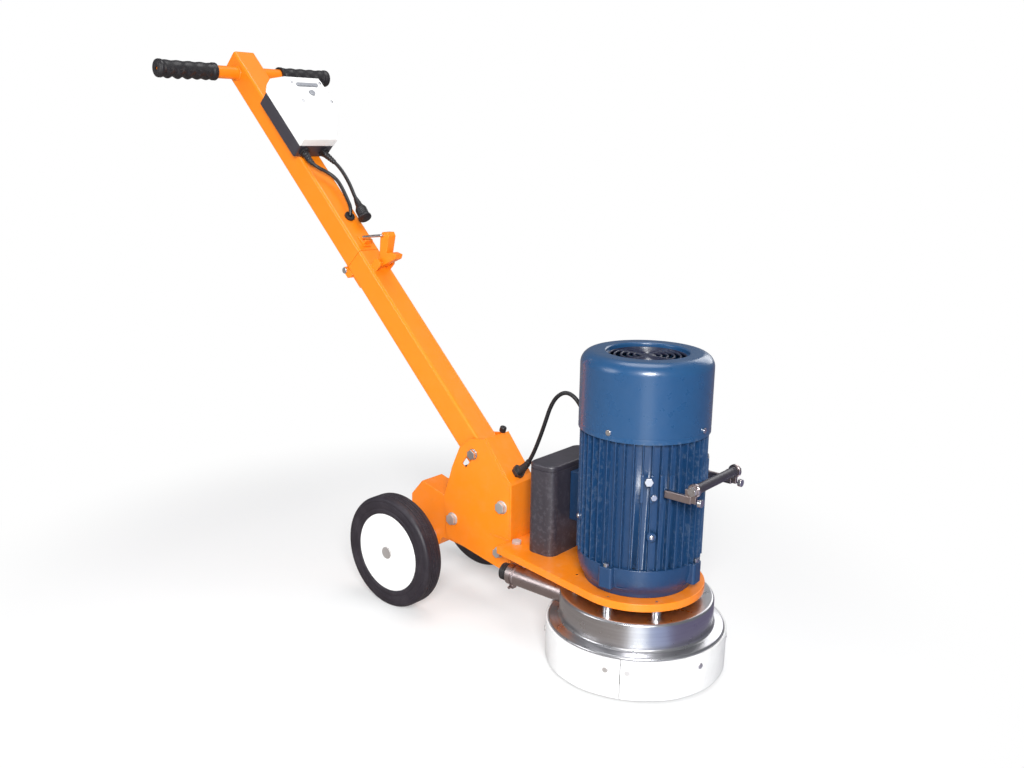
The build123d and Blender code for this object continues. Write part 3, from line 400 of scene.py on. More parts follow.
# what a finish has where its row says nothing else
plainPaint = {"coat": 0.0, "coatRoughness": 0.3, "specular": 0.5}
plainMetal = {"dustColor": paleDust, "turned": False}
paints = {
    "orangePowderCoat": {
        "color": (0.93, 0.235, 0.006), "undercoat": (0.3, 0.12, 0.05), "wear": 0.55,
        "dustColor": (0.75, 0.6, 0.42), "dust": 0.14, "variation": 0.05, "rough": (0.3, 0.44),
        "grain": (620.0, 90.0), "relief": 0.22, "depth": 0.0006, "coat": 0.25, "coatRoughness": 0.18,
        "specular": 0.35},
    "blueEnamel": {
        "color": (0.011, 0.062, 0.16), "undercoat": (0.09, 0.13, 0.2), "wear": 0.4,
        "dustColor": (0.2, 0.28, 0.38), "dust": 0.16, "variation": 0.1, "rough": (0.24, 0.4),
        "grain": (480.0, 70.0), "relief": 0.25, "depth": 0.0007, "coat": 0.35, "coatRoughness": 0.15},
    "blueCasting": {
        "color": (0.007, 0.042, 0.12), "undercoat": (0.08, 0.12, 0.19), "wear": 0.45,
        "dustColor": (0.1, 0.15, 0.22), "dust": 0.12, "variation": 0.12, "rough": (0.28, 0.48),
        "grain": (300.0, 60.0), "relief": 0.55, "depth": 0.001, "coat": 0.25, "coatRoughness": 0.2},
    # the cowl's blue paint darkened nearly to black on the grille: painted shade of the recess
    "grilleEnamelPaintedShade": {
        "color": (0.01, 0.012, 0.034), "undercoat": (0.08, 0.12, 0.19), "wear": 0.3,
        "dustColor": (0.1, 0.12, 0.18), "dust": 0.1, "variation": 0.1, "rough": (0.26, 0.42),
        "grain": (480.0, 70.0), "relief": 0.25, "depth": 0.0006, "coat": 0.2, "coatRoughness": 0.2},
    "darkCover": {
        "color": (0.03, 0.026, 0.036), "undercoat": (0.12, 0.11, 0.13), "wear": 0.4,
        "dustColor": (0.16, 0.14, 0.17), "dust": 0.2, "variation": 0.12, "rough": (0.36, 0.46),
        "grain": (900.0, 110.0), "relief": 0.25, "depth": 0.0005, "coatRoughness": 0.2, "specular": 0.8},
    "whiteMoulding": {
        "color": (0.86, 0.86, 0.85), "undercoat": (0.62, 0.61, 0.58), "wear": 0.35,
        "dustColor": (0.66, 0.64, 0.6), "dust": 0.3, "variation": 0.03, "rough": (0.32, 0.46),
        "grain": (1100.0, 140.0), "relief": 0.15, "depth": 0.0004, "coat": 0.1, "coatRoughness": 0.25},
    "skirtRubber": {
        "color": (0.8, 0.8, 0.8), "undercoat": (0.52, 0.51, 0.49), "wear": 0.5,
        "dustColor": (0.58, 0.57, 0.54), "dust": 0.55, "variation": 0.05, "rough": (0.42, 0.6),
        "grain": (700.0, 45.0), "relief": 0.25, "depth": 0.0006, "specular": 0.4},
    "blackRubber": {
        "color": (0.012, 0.011, 0.013), "undercoat": (0.07, 0.07, 0.07), "wear": 0.5,
        "dustColor": (0.16, 0.15, 0.15), "dust": 0.4, "variation": 0.3, "rough": (0.36, 0.55),
        "grain": (1000.0, 200.0), "relief": 0.3, "depth": 0.0004},
    "tyreRubber": {
        "color": (0.017, 0.013, 0.02), "undercoat": (0.1, 0.09, 0.1), "wear": 0.7,
        "dustColor": (0.13, 0.11, 0.13), "dust": 0.35, "variation": 0.3, "rough": (0.44, 0.62),
        "grain": (650.0, 80.0), "relief": 0.45, "depth": 0.0007},
    "cableJacket": {
        "color": (0.01, 0.01, 0.012), "undercoat": (0.05, 0.05, 0.05), "wear": 0.2,
        "dustColor": (0.15, 0.14, 0.14), "dust": 0.25, "variation": 0.2, "rough": (0.34, 0.46),
        "grain": (1400.0, 260.0), "relief": 0.2, "depth": 0.0003},
    "buttonGrey": {
        "color": (0.3, 0.31, 0.34), "undercoat": (0.5, 0.5, 0.5), "wear": 0.3, "dustColor": paleDust,
        "dust": 0.1, "variation": 0.05, "rough": (0.22, 0.32), "grain": (1200.0, 150.0), "relief": 0.1,
        "depth": 0.0003, "coat": 0.3, "coatRoughness": 0.15},
    "windingVarnish": {
        "color": (0.42, 0.13, 0.035), "undercoat": (0.6, 0.3, 0.1), "wear": 0.4,
        "dustColor": (0.2, 0.15, 0.1), "dust": 0.2, "variation": 0.3, "rough": (0.3, 0.5),
        "grain": (350.0, 90.0), "relief": 0.8, "depth": 0.002, "coat": 0.5, "coatRoughness": 0.15},
}
metals = {
    "zincPlated": {
        "color": (0.66, 0.66, 0.68), "stain": (0.3, 0.27, 0.24), "wear": 0.3, "dust": 0.25,
        "variation": 0.12, "rough": (0.2, 0.36), "pitch": 900.0, "relief": 0.2, "depth": 0.0004},
    "spunSteel": {
        "color": (0.58, 0.58, 0.6), "stain": (0.44, 0.43, 0.45), "wear": 0.1, "dust": 0.05,
        "variation": 0.05, "rough": (0.26, 0.33), "turned": True, "pitch": 2600.0, "relief": 0.12,
        "depth": 0.0003},
    "drawnPipe": {
        "color": (0.44, 0.37, 0.37), "stain": (0.28, 0.22, 0.2), "wear": 0.4, "dust": 0.4,
        "variation": 0.2, "rough": (0.24, 0.42), "pitch": 700.0, "relief": 0.25, "depth": 0.0004},
    "machinedIron": {
        "color": (0.2, 0.195, 0.19), "stain": (0.16, 0.09, 0.05), "wear": 0.5,
        "dustColor": (0.45, 0.43, 0.4), "dust": 0.7, "variation": 0.25, "rough": (0.35, 0.6),
        "turned": True, "pitch": 1400.0, "relief": 0.35, "depth": 0.0006},
    "diamondBar": {
        "color": (0.34, 0.32, 0.28), "stain": (0.5, 0.45, 0.35), "wear": 0.6,
        "dustColor": (0.5, 0.48, 0.45), "dust": 0.6, "variation": 0.3, "rough": (0.45, 0.7),
        "pitch": 1500.0, "relief": 0.9, "depth": 0.001},
    "dullZinc": {
        "color": (0.72, 0.7, 0.69), "stain": (0.5, 0.5, 0.5), "wear": 0.2, "dust": 0.6,
        "variation": 0.06, "rough": (0.55, 0.7), "pitch": 800.0, "relief": 0.2, "depth": 0.0003},
    "drawnAluminium": {
        "color": (0.72, 0.72, 0.73), "stain": (0.5, 0.5, 0.5), "wear": 0.2, "dust": 0.2,
        "variation": 0.08, "rough": (0.25, 0.4), "pitch": 800.0, "relief": 0.2, "depth": 0.0003},
}
finishes = {name: paintFinish(name, look) for name, look in paints.items()}
finishes.update({name: metalFinish(name, look) for name, look in metals.items()})
print("finishes", len(finishes))


def makeCamera():
    view = {"place": (1.2594, -1.3023, 0.8354), "turn": 39.91, "down": 13.8, "roll": 0.84, "lens": 35.62}
    bpy.ops.object.camera_add(location=view["place"])
    camera = bpy.context.object
    camera.name = "mainCamera"
    aim = Matrix.Rotation(math.radians(view["turn"]), 3, "Z")
    aim @= Matrix.Rotation(math.radians(90 - view["down"]), 3, "X")
    aim @= Matrix.Rotation(math.radians(view["roll"]), 3, "Z")
    camera.rotation_euler = aim.to_euler()
    camera.data.lens = view["lens"]
    camera.data.sensor_width = 36
    bpy.context.scene.camera = camera


def blendShaders(tree, share, first, second):
    return addNode(tree, "MixShader", {0: share, 1: first, 2: second}).outputs[0]


def makeFloor():
    ground = {"radius": 14, "tone": (0.86, 0.86, 0.86, 1), "rough": 0.85, "fade": (0.55, 1.0), "nearGlow": 0.35}
    # painted reflections: for glossy rays only, the floor glows in soft bands of tone set around the spindle,
    # and the machine's bare metal mirrors them as painted light and dark bands
    paintedReflectionBands = [(0.0, (0.34, 0.30, 0.28, 1)), (0.235, (0.46, 0.41, 0.38, 1)), (0.262, (1.9, 1.95, 2.0, 1)),
             (0.305, (1.8, 1.9, 2.0, 1)), (0.335, (0.52, 0.62, 0.92, 1)), (0.41, (0.45, 0.52, 0.80, 1)),
             (0.45, (0.20, 0.18, 0.30, 1)), (0.75, (0.20, 0.18, 0.28, 1)), (1.0, (0.34, 0.30, 0.28, 1))]
    bpy.ops.mesh.primitive_circle_add(vertices=96, radius=ground["radius"], fill_type="NGON")
    floor = bpy.context.object
    floor.name = "studioFloor"
    material, tree, shader = newMaterial("studioFloor", Roughness=ground["rough"], Base_Color=ground["tone"])
    spot = objectSpot(tree)
    reach = addNode(tree, "VectorMath", {0: spot}, operation="LENGTH").outputs["Value"]
    far = ranged(tree, reach, *ground["fade"], ground["nearGlow"], 1.0)
    glow = addNode(tree, "Emission", {"Color": (1, 1, 1, 1)}).outputs[0]
    seen = blendShaders(tree, far, shader.outputs[0], glow)
    part = apart(tree, addNode(tree, "VectorMath", {0: spot, 1: spindle}, operation="SUBTRACT").outputs[0])
    turn = math2(tree, "ARCTAN2", part["Y"], part["X"])
    ramp = addNode(tree, "ValToRGB", {"Fac": ranged(tree, turn, -math.pi, math.pi)})
    stops = ramp.color_ramp.elements
    while len(stops) < len(paintedReflectionBands):
        stops.new(0.5)
    for stop, (spotOnRamp, tone) in zip(stops, paintedReflectionBands):
        stop.position = spotOnRamp
        stop.color = tone
    # the floor's glow in the painted reflection bands, mixed in for glossy rays only
    mirrored = addNode(tree, "Emission", {"Color": ramp.outputs["Color"]}).outputs[0]
    rays = addNode(tree, "LightPath").outputs
    bounced = blendShaders(tree, rays["Is Glossy Ray"], shader.outputs[0], mirrored)
    surface = blendShaders(tree, rays["Is Camera Ray"], bounced, seen)
    tree.links.new(surface, tree.nodes["Material Output"].inputs["Surface"])
    floor.data.materials.append(material)


def makeLights():
    lights = {
        "keyLight": {"place": (1.75, -1.75, 1.5), "aim": (0.1, 0, 0.4), "size": 0.9, "power": 80},
        "fillLight": {"place": (-0.9, -2.1, 1.2), "aim": (0.0, 0, 0.5), "size": 1.2, "power": 16},
        "topLight": {"place": (0.1, 0.3, 2.6), "aim": (0.1, 0, 0.2), "size": 1.5, "power": 22},
        "backLight": {"place": (0.2, 2.3, 1.3), "aim": (0.1, 0, 0.4), "size": 1.4, "power": 12},
    }
    for name, light in lights.items():
        bpy.ops.object.light_add(type="AREA", location=light["place"])
        lamp = bpy.context.object
        lamp.name = name
        lamp.data.shape = "DISK"
        lamp.data.size = light["size"]
        lamp.data.energy = light["power"]
        away = Vector(light["place"]) - Vector(light["aim"])
        lamp.rotation_euler = away.to_track_quat("Z", "Y").to_euler()
    surround = {"tone": (0.62, 0.64, 0.68, 1), "strength": 0.34}
    world = bpy.data.worlds.new("studio")
    bpy.context.scene.world = world
    world.use_nodes = True
    tree = world.node_tree
    around = tree.nodes["Background"]
    around.inputs["Color"].default_value = surround["tone"]
    around.inputs["Strength"].default_value = surround["strength"]
    behind = addNode(tree, "Background", {"Color": (1, 1, 1, 1)})
    ray = addNode(tree, "LightPath").outputs["Is Camera Ray"]
    shown = blendShaders(tree, ray, around.outputs[0], behind.outputs[0])
    tree.links.new(shown, tree.nodes["World Output"].inputs["Surface"])
    bpy.context.scene.view_settings.view_transform = "Standard"


makeCamera()
makeFloor()
makeLights()
print("camera, floor and light")


leadRadius = 0.0035
controlRoute = [(0.646, 0.040, -0.024), (0.631, 0.040, -0.025), (0.614, 0.041, -0.018), (0.600, 0.041, 0),
                (0.582, 0.041, 0.012), (0.556, 0.040, 0.012), (0.529, 0.040, 0.007), (0.509, 0.040, 0.003),
                (0.500, 0.030, 0.001)]
mainsRoute = [(0.646, 0.040, 0.024), (0.632, 0.041, 0.030), (0.612, 0.043, 0.035), (0.588, 0.043, 0.036),
              (0.562, 0.043, 0.033), (0.538, 0.043, 0.027), (0.518, 0.043, 0.024)]
motorRoute = [(0.1952, -0.002, 0.269), (0.2061, -0.002, 0.2778), (0.219, -0.001, 0.299), (0.232, 0, 0.330),
              (0.244, 0, 0.362), (0.254, 0.001, 0.393), (0.267, 0.002, 0.414), (0.285, 0.003, 0.424),
              (0.302, 0.006, 0.417), (0.314, 0.011, 0.397), (0.321, 0.019, 0.368), (0.324, 0.027, 0.340),
              (0.322, 0.032, 0.316), (0.320, 0.033, 0.298)]


def routeCurve(name, points, radius):
    curve = bpy.data.curves.new(name, "CURVE")
    curve.dimensions = "3D"
    curve.resolution_u = 14
    curve.bevel_depth = radius
    curve.bevel_resolution = 6
    curve.use_fill_caps = True
    spline = curve.splines.new("NURBS")
    spline.points.add(len(points) - 1)
    for target, point in zip(spline.points, points):
        target.co = (*point, 1)
    spline.order_u = 3
    spline.use_endpoint_u = True
    lead = bpy.data.objects.new(name, curve)
    bpy.context.scene.collection.objects.link(lead)
    return lead


def routeLine(lead):
    # the spline's own points, read from the curve with no thickness
    depth = lead.data.bevel_depth
    lead.data.bevel_depth = 0
    bpy.context.view_layer.update()
    mesh = bpy.data.meshes.new_from_object(lead.evaluated_get(bpy.context.evaluated_depsgraph_get()))
    line = [vertex.co.copy() for vertex in mesh.vertices]
    bpy.data.meshes.remove(mesh)
    lead.data.bevel_depth = depth
    return line


def lineLength(line):
    return sum((after - before).length for before, after in zip(line, line[1:]))


def pointAlong(line, distance):
    for before, after in zip(line, line[1:]):
        step = (after - before).length
        if distance <= step:
            return before + (after - before) * (distance / step), (after - before).normalized()
        distance -= step
    return line[-1] + (line[-1] - line[-2]).normalized() * distance, (line[-1] - line[-2]).normalized()


def sleeveAlong(name, line, shape, sides=24):
    # shape: (distance along the lead, radius) pairs
    bpy.ops.object.select_all(action="DESELECT")
    sleeve = None
    for distance, radius in shape:
        spot, heading = pointAlong(line, distance)
        turn = heading.to_track_quat("Z", "Y").to_euler()
        bpy.ops.mesh.primitive_circle_add(vertices=sides, radius=radius, location=spot, rotation=turn)
        ring = bpy.context.object
        if sleeve:
            joinPieces(sleeve, ring)
        else:
            sleeve = ring
            sleeve.name = name
    selectOnly(sleeve)
    bpy.ops.object.transform_apply(location=True, rotation=True, scale=True)
    startEdit(sleeve)
    bpy.ops.mesh.bridge_edge_loops(type="SINGLE")
    choose(sleeve, "VERT", lambda spot: True)
    bpy.ops.mesh.select_mode(type="VERT")
    bpy.ops.mesh.select_non_manifold()
    bpy.ops.mesh.fill_holes(sides=0)
    bpy.ops.mesh.select_all(action="SELECT")
    bpy.ops.mesh.normals_make_consistent(inside=False)
    endEdit()
    return smooth(sleeve, 50, weighted=False)


def ribbedTaper(start, length, wide, narrow, ribs):
    # a strain relief: a taper with grooves between its ribs
    shape = []
    for index in range(ribs):
        for part, swell in ((0.0, 0.0), (0.14, 0.0006), (0.62, 0.0006), (0.76, 0.0)):
            share = (index + part) / ribs
            shape.append((start + length * share, wide + (narrow - wide) * share + swell))
    shape.append((start + length, narrow))
    return shape


def makeLeads():
    relief = {"handle": (-0.0015, 0.026, 0.0062, 0.0040, 5), "motor": (-0.002, 0.030, 0.0070, 0.0042, 5),
              "box": (-0.002, 0.026, 0.0068, 0.0042, 4)}
    routes = {"controlLead": [onColumn(*spot) for spot in controlRoute],
              "mainsLead": [onColumn(*spot) for spot in mainsRoute], "motorCable": motorRoute}
    pieces = {name: routeCurve(name, points, leadRadius) for name, points in routes.items()}
    lines = {name: routeLine(lead) for name, lead in pieces.items()}
    sleeves = {}
    for name, line, kind, body in (("controlLeadSleeve", lines["controlLead"], "handle", "upper_handle"),
                                   ("mainsLeadSleeve", lines["mainsLead"], "handle", "upper_handle"),
                                   ("motorCableSleeve", lines["motorCable"], "motor", "frame"),
                                   ("motorCableEnd", list(reversed(lines["motorCable"])), "box", "frame")):
        sleeves[name] = sleeveAlong(name, line, ribbedTaper(*relief[kind]))
        place(sleeves[name], body, "blackRubber")
    plug = makePlug(lines["mainsLead"])
    place(pieces["controlLead"], "upper_handle", "cableJacket", "control_lead")
    place(pieces["mainsLead"], "upper_handle", "cableJacket", "mains_lead")
    place(pieces["motorCable"], "frame", "cableJacket", "motor_cable")
    declared = {"controlLead": ("object", "medium", [sleeves["controlLeadSleeve"]]),
                "mainsLead": ("plug", "medium", [sleeves["mainsLeadSleeve"], plug]),
                "motorCable": ("object", "stiff", [sleeves["motorCableSleeve"], sleeves["motorCableEnd"]])}
    for name, (farEnd, stiffness, carried) in declared.items():
        line = lines[name]
        print(name, "length", round(lineLength(line), 4))


def makePlug(line):
    # moulded plug body, ribbed where it is gripped, with a flared face
    end = lineLength(line)
    ribs = {"count": 4, "start": 0.015, "pitch": 0.0042}
    body = [(-0.012, 0.0042), (-0.006, 0.0052), (0.000, 0.0062), (0.006, 0.0066), (0.010, 0.0085),
            (0.013, 0.0100)]
    for index in range(ribs["count"]):
        start = ribs["start"] + index * ribs["pitch"]
        body += [(start, 0.0105), (start + 0.0007, 0.0112), (start + 0.0024, 0.0112), (start + 0.0031, 0.0105)]
    body += [(0.0325, 0.0108), (0.0338, 0.0128), (0.0342, 0.0130), (0.0376, 0.0130), (0.0380, 0.0126)]
    plug = sleeveAlong("mainsPlug", line, [(end + step, radius) for step, radius in body], 32)
    return place(plug, "upper_handle", "blackRubber", "mains_plug")


makeLeads()
print("leads")


# grinding head

def makeHood():
    wall = 0.0025
    corner, flare, lip = 0.0045, 0.0055, 0.004
    eye, crown = 0.058, 0.1195
    outside = [(eye, crown)] + arc(0.1205, 0.115, corner, 90, 0)
    outside += arc(0.1305, 0.0805, flare, 180, 262) + arc(0.1392, 0.0695, lip, 84, 0)
    outside += [(0.1432, 0.0452), (0.1428, 0.0440), (0.1411, 0.0440)]
    inside = arc(0.1392, 0.0695, lip - wall, 0, 84) + arc(0.1305, 0.0805, flare + wall, 262, 180)
    inside += arc(0.1205, 0.115, corner - wall, 0, 90) + [(eye, crown - wall)]
    hood = turnedPiece("dustHood", outside + inside, spindle, steps=160)
    place(smooth(hood, 50), "frame", "spunSteel", "hood")


def makeSkirt():
    skirt = {"outer": 0.1470, "inner": 0.1436, "low": 0.0042, "high": 0.0698, "round": 0.0009, "seam": -65.3,
             "gap": 0.5, "step": 0.012, "freeHeight": 0.045, "slack": 0.0105}
    r0, r1, z0, z1, e = (skirt[key] for key in ("inner", "outer", "low", "high", "round"))
    outline = arc(r1 - e, z0 + e, e, -90, 0, 3)
    outline += [(r1, z0 + skirt["step"] * index) for index in range(1, 5)]
    outline += arc(r1 - e, z1 - e, e, 0, 90, 3) + arc(r0 + e, z1 - e, e, 90, 180, 3)
    outline += [(r0, z0 + skirt["step"] * index) for index in range(4, 0, -1)]
    outline += arc(r0 + e, z0 + e, e, 180, 270, 3)
    piece = turnedPiece("dustSkirt", outline[:-1], spindle, steps=150, start=skirt["seam"] + skirt["gap"] / 2,
                        sweep=360 - skirt["gap"])
    for vertex in piece.data.vertices:
        offset = vertex.co - spindle
        turn = math.atan2(offset.y, offset.x)
        # the free lower edge is a little wavy
        slack = max(0.0, 1 - offset.z / skirt["freeHeight"]) ** 1.5
        wave = 0.5 + 0.3 * math.sin(5 * turn + 0.7) + 0.2 * math.sin(13 * turn)
        pull = 1 - skirt["slack"] * slack * wave
        vertex.co.x = spindle.x + offset.x * pull
        vertex.co.y = offset.y * pull
    place(smooth(piece, 50), "frame", "skirtRubber", "skirt")


def makePlateScrews():
    # flush heads over the spacers, painted with the plate
    screw = {"turns": (-139, -84, -39, 39, 84, 139), "reach": 0.098, "radius": 0.0052, "height": 0.1452}
    radius, top = screw["radius"], screw["height"]
    recess, face = top - 0.0009, top - 0.0001
    outline = [(0, recess), (0.0017, recess), (0.0021, face), (radius - 0.0006, face), (radius, top - 0.0006),
               (0, top - 0.0007)]
    heads = []
    for index, turn in enumerate(screw["turns"]):
        outward = Matrix.Rotation(math.radians(turn), 3, "Z") @ Vector((screw["reach"], 0, 0))
        heads.append(turnedPiece("plateScrew" + str(index), outline, spindle + outward, steps=24, closed=False))
    place(joinAs("plateScrews", heads, 40), "frame", "orangePowderCoat")


def makeHead():
    makeHood()
    makeSkirt()
    placeCopies("frame", {"base_plate": ("basePlate", "orangePowderCoat", 0.0012, 3),
                          "hood_standoffs": ("plateSpacers", "zincPlated", 0.0004, 2)})
    makePlateScrews()
    placeCopies("frame", {"skirt_rivets": ("skirtRivets", "dullZinc", 0.0007, 4)})
    makeDustPort()
    placeCopies("spindle", {"grinding_disc": ("grindingDisc", "machinedIron", 0.0006, 2),
                            "diamond_segments": ("diamondShoes", "diamondBar", 0.0008, 3),
                            "disc_bolts": ("discBolts", "zincPlated", 0.0005, 2)})


def makeDustPort():
    port = {"wall": 0.002, "bead": 0.0016, "edge": 0.0004, "beadFrom": 0.0125, "beadTo": 0.0165,
            "slope": 0.0013}
    cuffed = {"wall": 0.0025, "edge": 0.0006, "groove": 0.0010, "first": 0.003, "pitch": 0.004, "grooves": 3}
    low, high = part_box("dust_port")
    middle = Vector((0, (low.y + high.y) / 2, (low.z + high.z) / 2))
    along = Vector((1, 0, 0))
    radius, wall, edge = (high.z - low.z) / 2, port["wall"], port["edge"]
    bead, start, end = radius + port["bead"], low.x + port["beadFrom"], low.x + port["beadTo"]
    outline = [(radius - wall, low.x), (radius - edge, low.x), (radius, low.x + edge), (radius, start),
               (bead, start + port["slope"]), (bead, end - port["slope"]), (radius, end), (radius, high.x),
               (radius - wall, high.x)]
    pipe = turnedPiece("dustPipe", outline, middle, along, 64)
    place(smooth(pipe, 50), "frame", "drawnPipe", "dust_port")
    low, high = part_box("port_cuff")
    outer = (high.z - low.z) / 2
    inner, bottom = outer - cuffed["wall"], outer - cuffed["groove"]
    outline = [(inner, low.x), (outer - cuffed["edge"], low.x), (outer, low.x + cuffed["edge"])]
    for index in range(cuffed["grooves"]):
        start = low.x + cuffed["first"] + index * cuffed["pitch"]
        outline += [(bottom, start), (bottom, start + 0.0014), (outer, start + 0.0020), (outer, start + 0.0034)]
    outline += [(outer, high.x), (inner, high.x)]
    cuff = turnedPiece("portCuff", outline, middle, along, 48)
    place(smooth(cuff, 50), "frame", "blackRubber", "port_cuff")
    placeCopies("frame", {"port_clamp": ("portClamp", "drawnPipe", 0.0003, 2)})


# motor

def makeHousing():
    low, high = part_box("stator_housing")
    shell = {"inside": 0.0856, "outside": 0.0920}
    fin = {"count": 44, "root": 0.0036, "tip": 0.0019, "inside": 0.0905, "outside": 0.1004, "short": 0.0005,
           "round": 0.0007}
    barrel = turnedPiece("statorHousing", [(shell["inside"], low.z), (shell["outside"], low.z),
                                           (shell["outside"], high.z), (shell["inside"], high.z)],
                         spindle, steps=fin["count"] * 3)
    blade = blockPiece("coolingFin", (spindle.x + fin["inside"], -fin["root"] / 2, low.z + fin["short"]),
                       (spindle.x + fin["outside"], fin["root"] / 2, high.z - fin["short"]))
    outer = spindle.x + 0.095
    startEdit(blade)
    choose(blade, "VERT", lambda spot: spot.x > outer)
    bpy.ops.transform.resize(value=(1, fin["tip"] / fin["root"], 1))
    choose(blade, "EDGE", lambda a, b: min(a.x, b.x) > outer)
    bpy.ops.mesh.bevel(offset=fin["round"], segments=3)
    bpy.ops.mesh.select_all(action="SELECT")
    bpy.ops.mesh.spin(steps=fin["count"], angle=math.tau, center=spindle, axis=alongZ, dupli=True)
    bpy.ops.mesh.select_all(action="SELECT")
    bpy.ops.mesh.remove_doubles(threshold=sameSpot["repeated"])
    endEdit()
    joinPieces(barrel, blade)
    place(smooth(barrel, 40), "frame", "blueCasting", "stator_housing")


def makeCowl():
    low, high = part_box("fan_cowl")
    radius, top = (high.x - low.x) / 2, high.z
    wall, corner, well, dip, lip, groove = 0.0016, 0.020, 0.0640, 0.0050, 0.003, 0.0007
    outside = [(radius - wall, low.z), (radius, low.z + 0.0004), (radius, low.z + 0.0060),
               (radius - groove, low.z + 0.0072), (radius - groove, low.z + 0.0090), (radius, low.z + 0.0102)]
    outside += arc(radius - corner, top - corner, corner, 0, 90, 14)
    outside += arc(well + lip, top - lip, lip, 90, 180, 5)
    outside += [(well, top - dip - 0.002), (well - lip, top - dip - 0.002)]
    inside = [(well - lip, top - dip - 0.0036), (well + wall, top - dip - 0.0036),
              (well + 0.0030, top - wall - 0.0015), (well + 0.0045, top - wall)]
    inside += arc(radius - corner, top - corner, corner - wall, 90, 0, 10)
    cowl = turnedPiece("fanCowl", outside + inside, spindle, steps=144)
    place(smooth(cowl, 50), "frame", "blueEnamel", "fan_cowl")
    makeGrille(top - dip - 0.0020, well)


def makeGrille(height, well):
    # pressed rings on four spokes, over the fan
    grille = {"rings": (0.0210, 0.0310, 0.0410, 0.0510, 0.0600), "half": 0.0017, "thick": 0.0016,
              "boss": 0.0125, "spoke": 0.0022}
    half, thick, boss, spokeHalf = (grille[key] for key in ("half", "thick", "boss", "spoke"))
    under, crown = height - thick, height + thick * 0.6
    parts = []
    for index, ring in enumerate(grille["rings"]):
        outline = [(ring - half, height), (ring - half * 0.5, crown), (ring + half * 0.5, crown),
                   (ring + half, height), (ring + half, under), (ring - half, under)]
        parts.append(turnedPiece("grilleRing" + str(index), outline, spindle, steps=96))
    outline = [(0, height + 0.0022), (boss * 0.6, height + 0.0019), (boss, height), (boss, under), (0, under)]
    parts.append(turnedPiece("grilleBoss", outline, spindle, steps=64, closed=False))
    for turn in range(4):
        spoke = blockPiece("grilleSpoke" + str(turn), (spindle.x + boss * 0.8, -spokeHalf, under),
                           (spindle.x + well - 0.001, spokeHalf, height + thick * 0.4))
        selectOnly(spoke)
        bpy.ops.transform.rotate(value=math.pi / 2 * turn, orient_axis="Z", center_override=spindle)
        bpy.ops.object.transform_apply(location=True, rotation=True, scale=True)
        easeEdges(spoke, 0.0005)
        parts.append(spoke)
    # the grille's near-black finish is painted shade of the cowl's recess
    place(joinAs("cowlGrille", parts, 45), "frame", "grilleEnamelPaintedShade")


def makeMotor():
    makeHousing()
    makeCowl()
    placeCopies("frame", {"drive_end_shield": ("lowerShield", "blueCasting", 0.0014, 3),
                          "motor_bolts": ("motorScrews", "zincPlated", 0.0006, 3)})
    makeScrewBosses()
    makeBoxes()
    makeLiftHandle()


def makeScrewBosses():
    # cast pads with a small screw each, low on the barrel
    boss = {"turns": (-47, 47, 133, -133), "height": 0.251, "face": 0.1002, "foot": 0.0925, "pad": 0.0075,
            "head": 0.0036}
    face, foot, radius, head = (boss[key] for key in ("face", "foot", "pad", "head"))
    outlines = {
        "bossPad": [(0, foot), (radius + 0.001, foot), (radius, face - 0.001), (radius - 0.001, face),
                    (0, face)],
        "bossScrew": [(0, face - 0.0006), (head, face - 0.0006), (head, face + 0.0012),
                      (head - 0.0010, face + 0.0022), (0, face + 0.0025)]}
    made = {"bossPad": [], "bossScrew": []}
    centre = spindle + alongZ * boss["height"]
    for index, turn in enumerate(boss["turns"]):
        outward = Matrix.Rotation(math.radians(turn), 3, "Z") @ Vector((1, 0, 0))
        for label, outline in outlines.items():
            made[label].append(turnedPiece(label + str(index), outline, centre, outward, 32, closed=False))
    place(joinAs("barrelPads", made["bossPad"], 40), "frame", "blueCasting")
    place(joinAs("barrelScrews", made["bossScrew"], 40), "frame", "zincPlated")


def makeBoxes():
    low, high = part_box("capacitor_cover")
    cover = {"corner": 0.0165, "lid": 0.0085, "groove": 0.0012, "top": 0.0035, "waist": (0.96, 0.984, 1)}
    box = blockPiece("capacitorCover", low, high)
    startEdit(box)
    choose(box, "EDGE", lambda a, b: abs(a.z - b.z) > 0.05)
    bpy.ops.mesh.bevel(offset=cover["corner"], segments=8)
    seam, groove = high.z - cover["lid"], cover["groove"]
    for level in (seam - groove * 1.5, seam - groove, seam, seam + groove * 0.5):
        bpy.ops.mesh.select_all(action="SELECT")
        bpy.ops.mesh.bisect(plane_co=(0, 0, level), plane_no=(0, 0, 1))
    choose(box, "VERT", lambda spot: seam - groove * 1.2 < spot.z < seam + 0.0001)
    bpy.ops.transform.resize(value=cover["waist"], center_override=(low + high) / 2)
    endEdit()
    startEdit(box)
    choose(box, "EDGE", lambda a, b: min(a.z, b.z) > high.z - 0.0001)
    bpy.ops.mesh.bevel(offset=cover["top"], segments=4)
    endEdit()
    place(smooth(box, 35), "frame", "darkCover", "capacitor_cover")
    placeCopies("frame", {"terminal_box": ("terminalBox", "blueCasting", 0.0018, 3)})


def screwHead(name, spot, outward, radius, height):
    # pan head with a shallow cross cut
    outline = [(0, height * 0.55), (radius * 0.22, height * 0.62), (radius * 0.3, height * 0.95)]
    outline += arc(radius - height * 0.8, height * 0.2, height * 0.8, 80, 0, 4) + [(radius, 0), (0, 0)]
    head = turnedPiece(name, outline, Vector((0, 0, 0)), steps=20, closed=False)
    aim = outward.to_track_quat("Z", "Y").to_matrix().to_4x4()
    head.data.transform(Matrix.Translation(spot) @ aim)
    return head


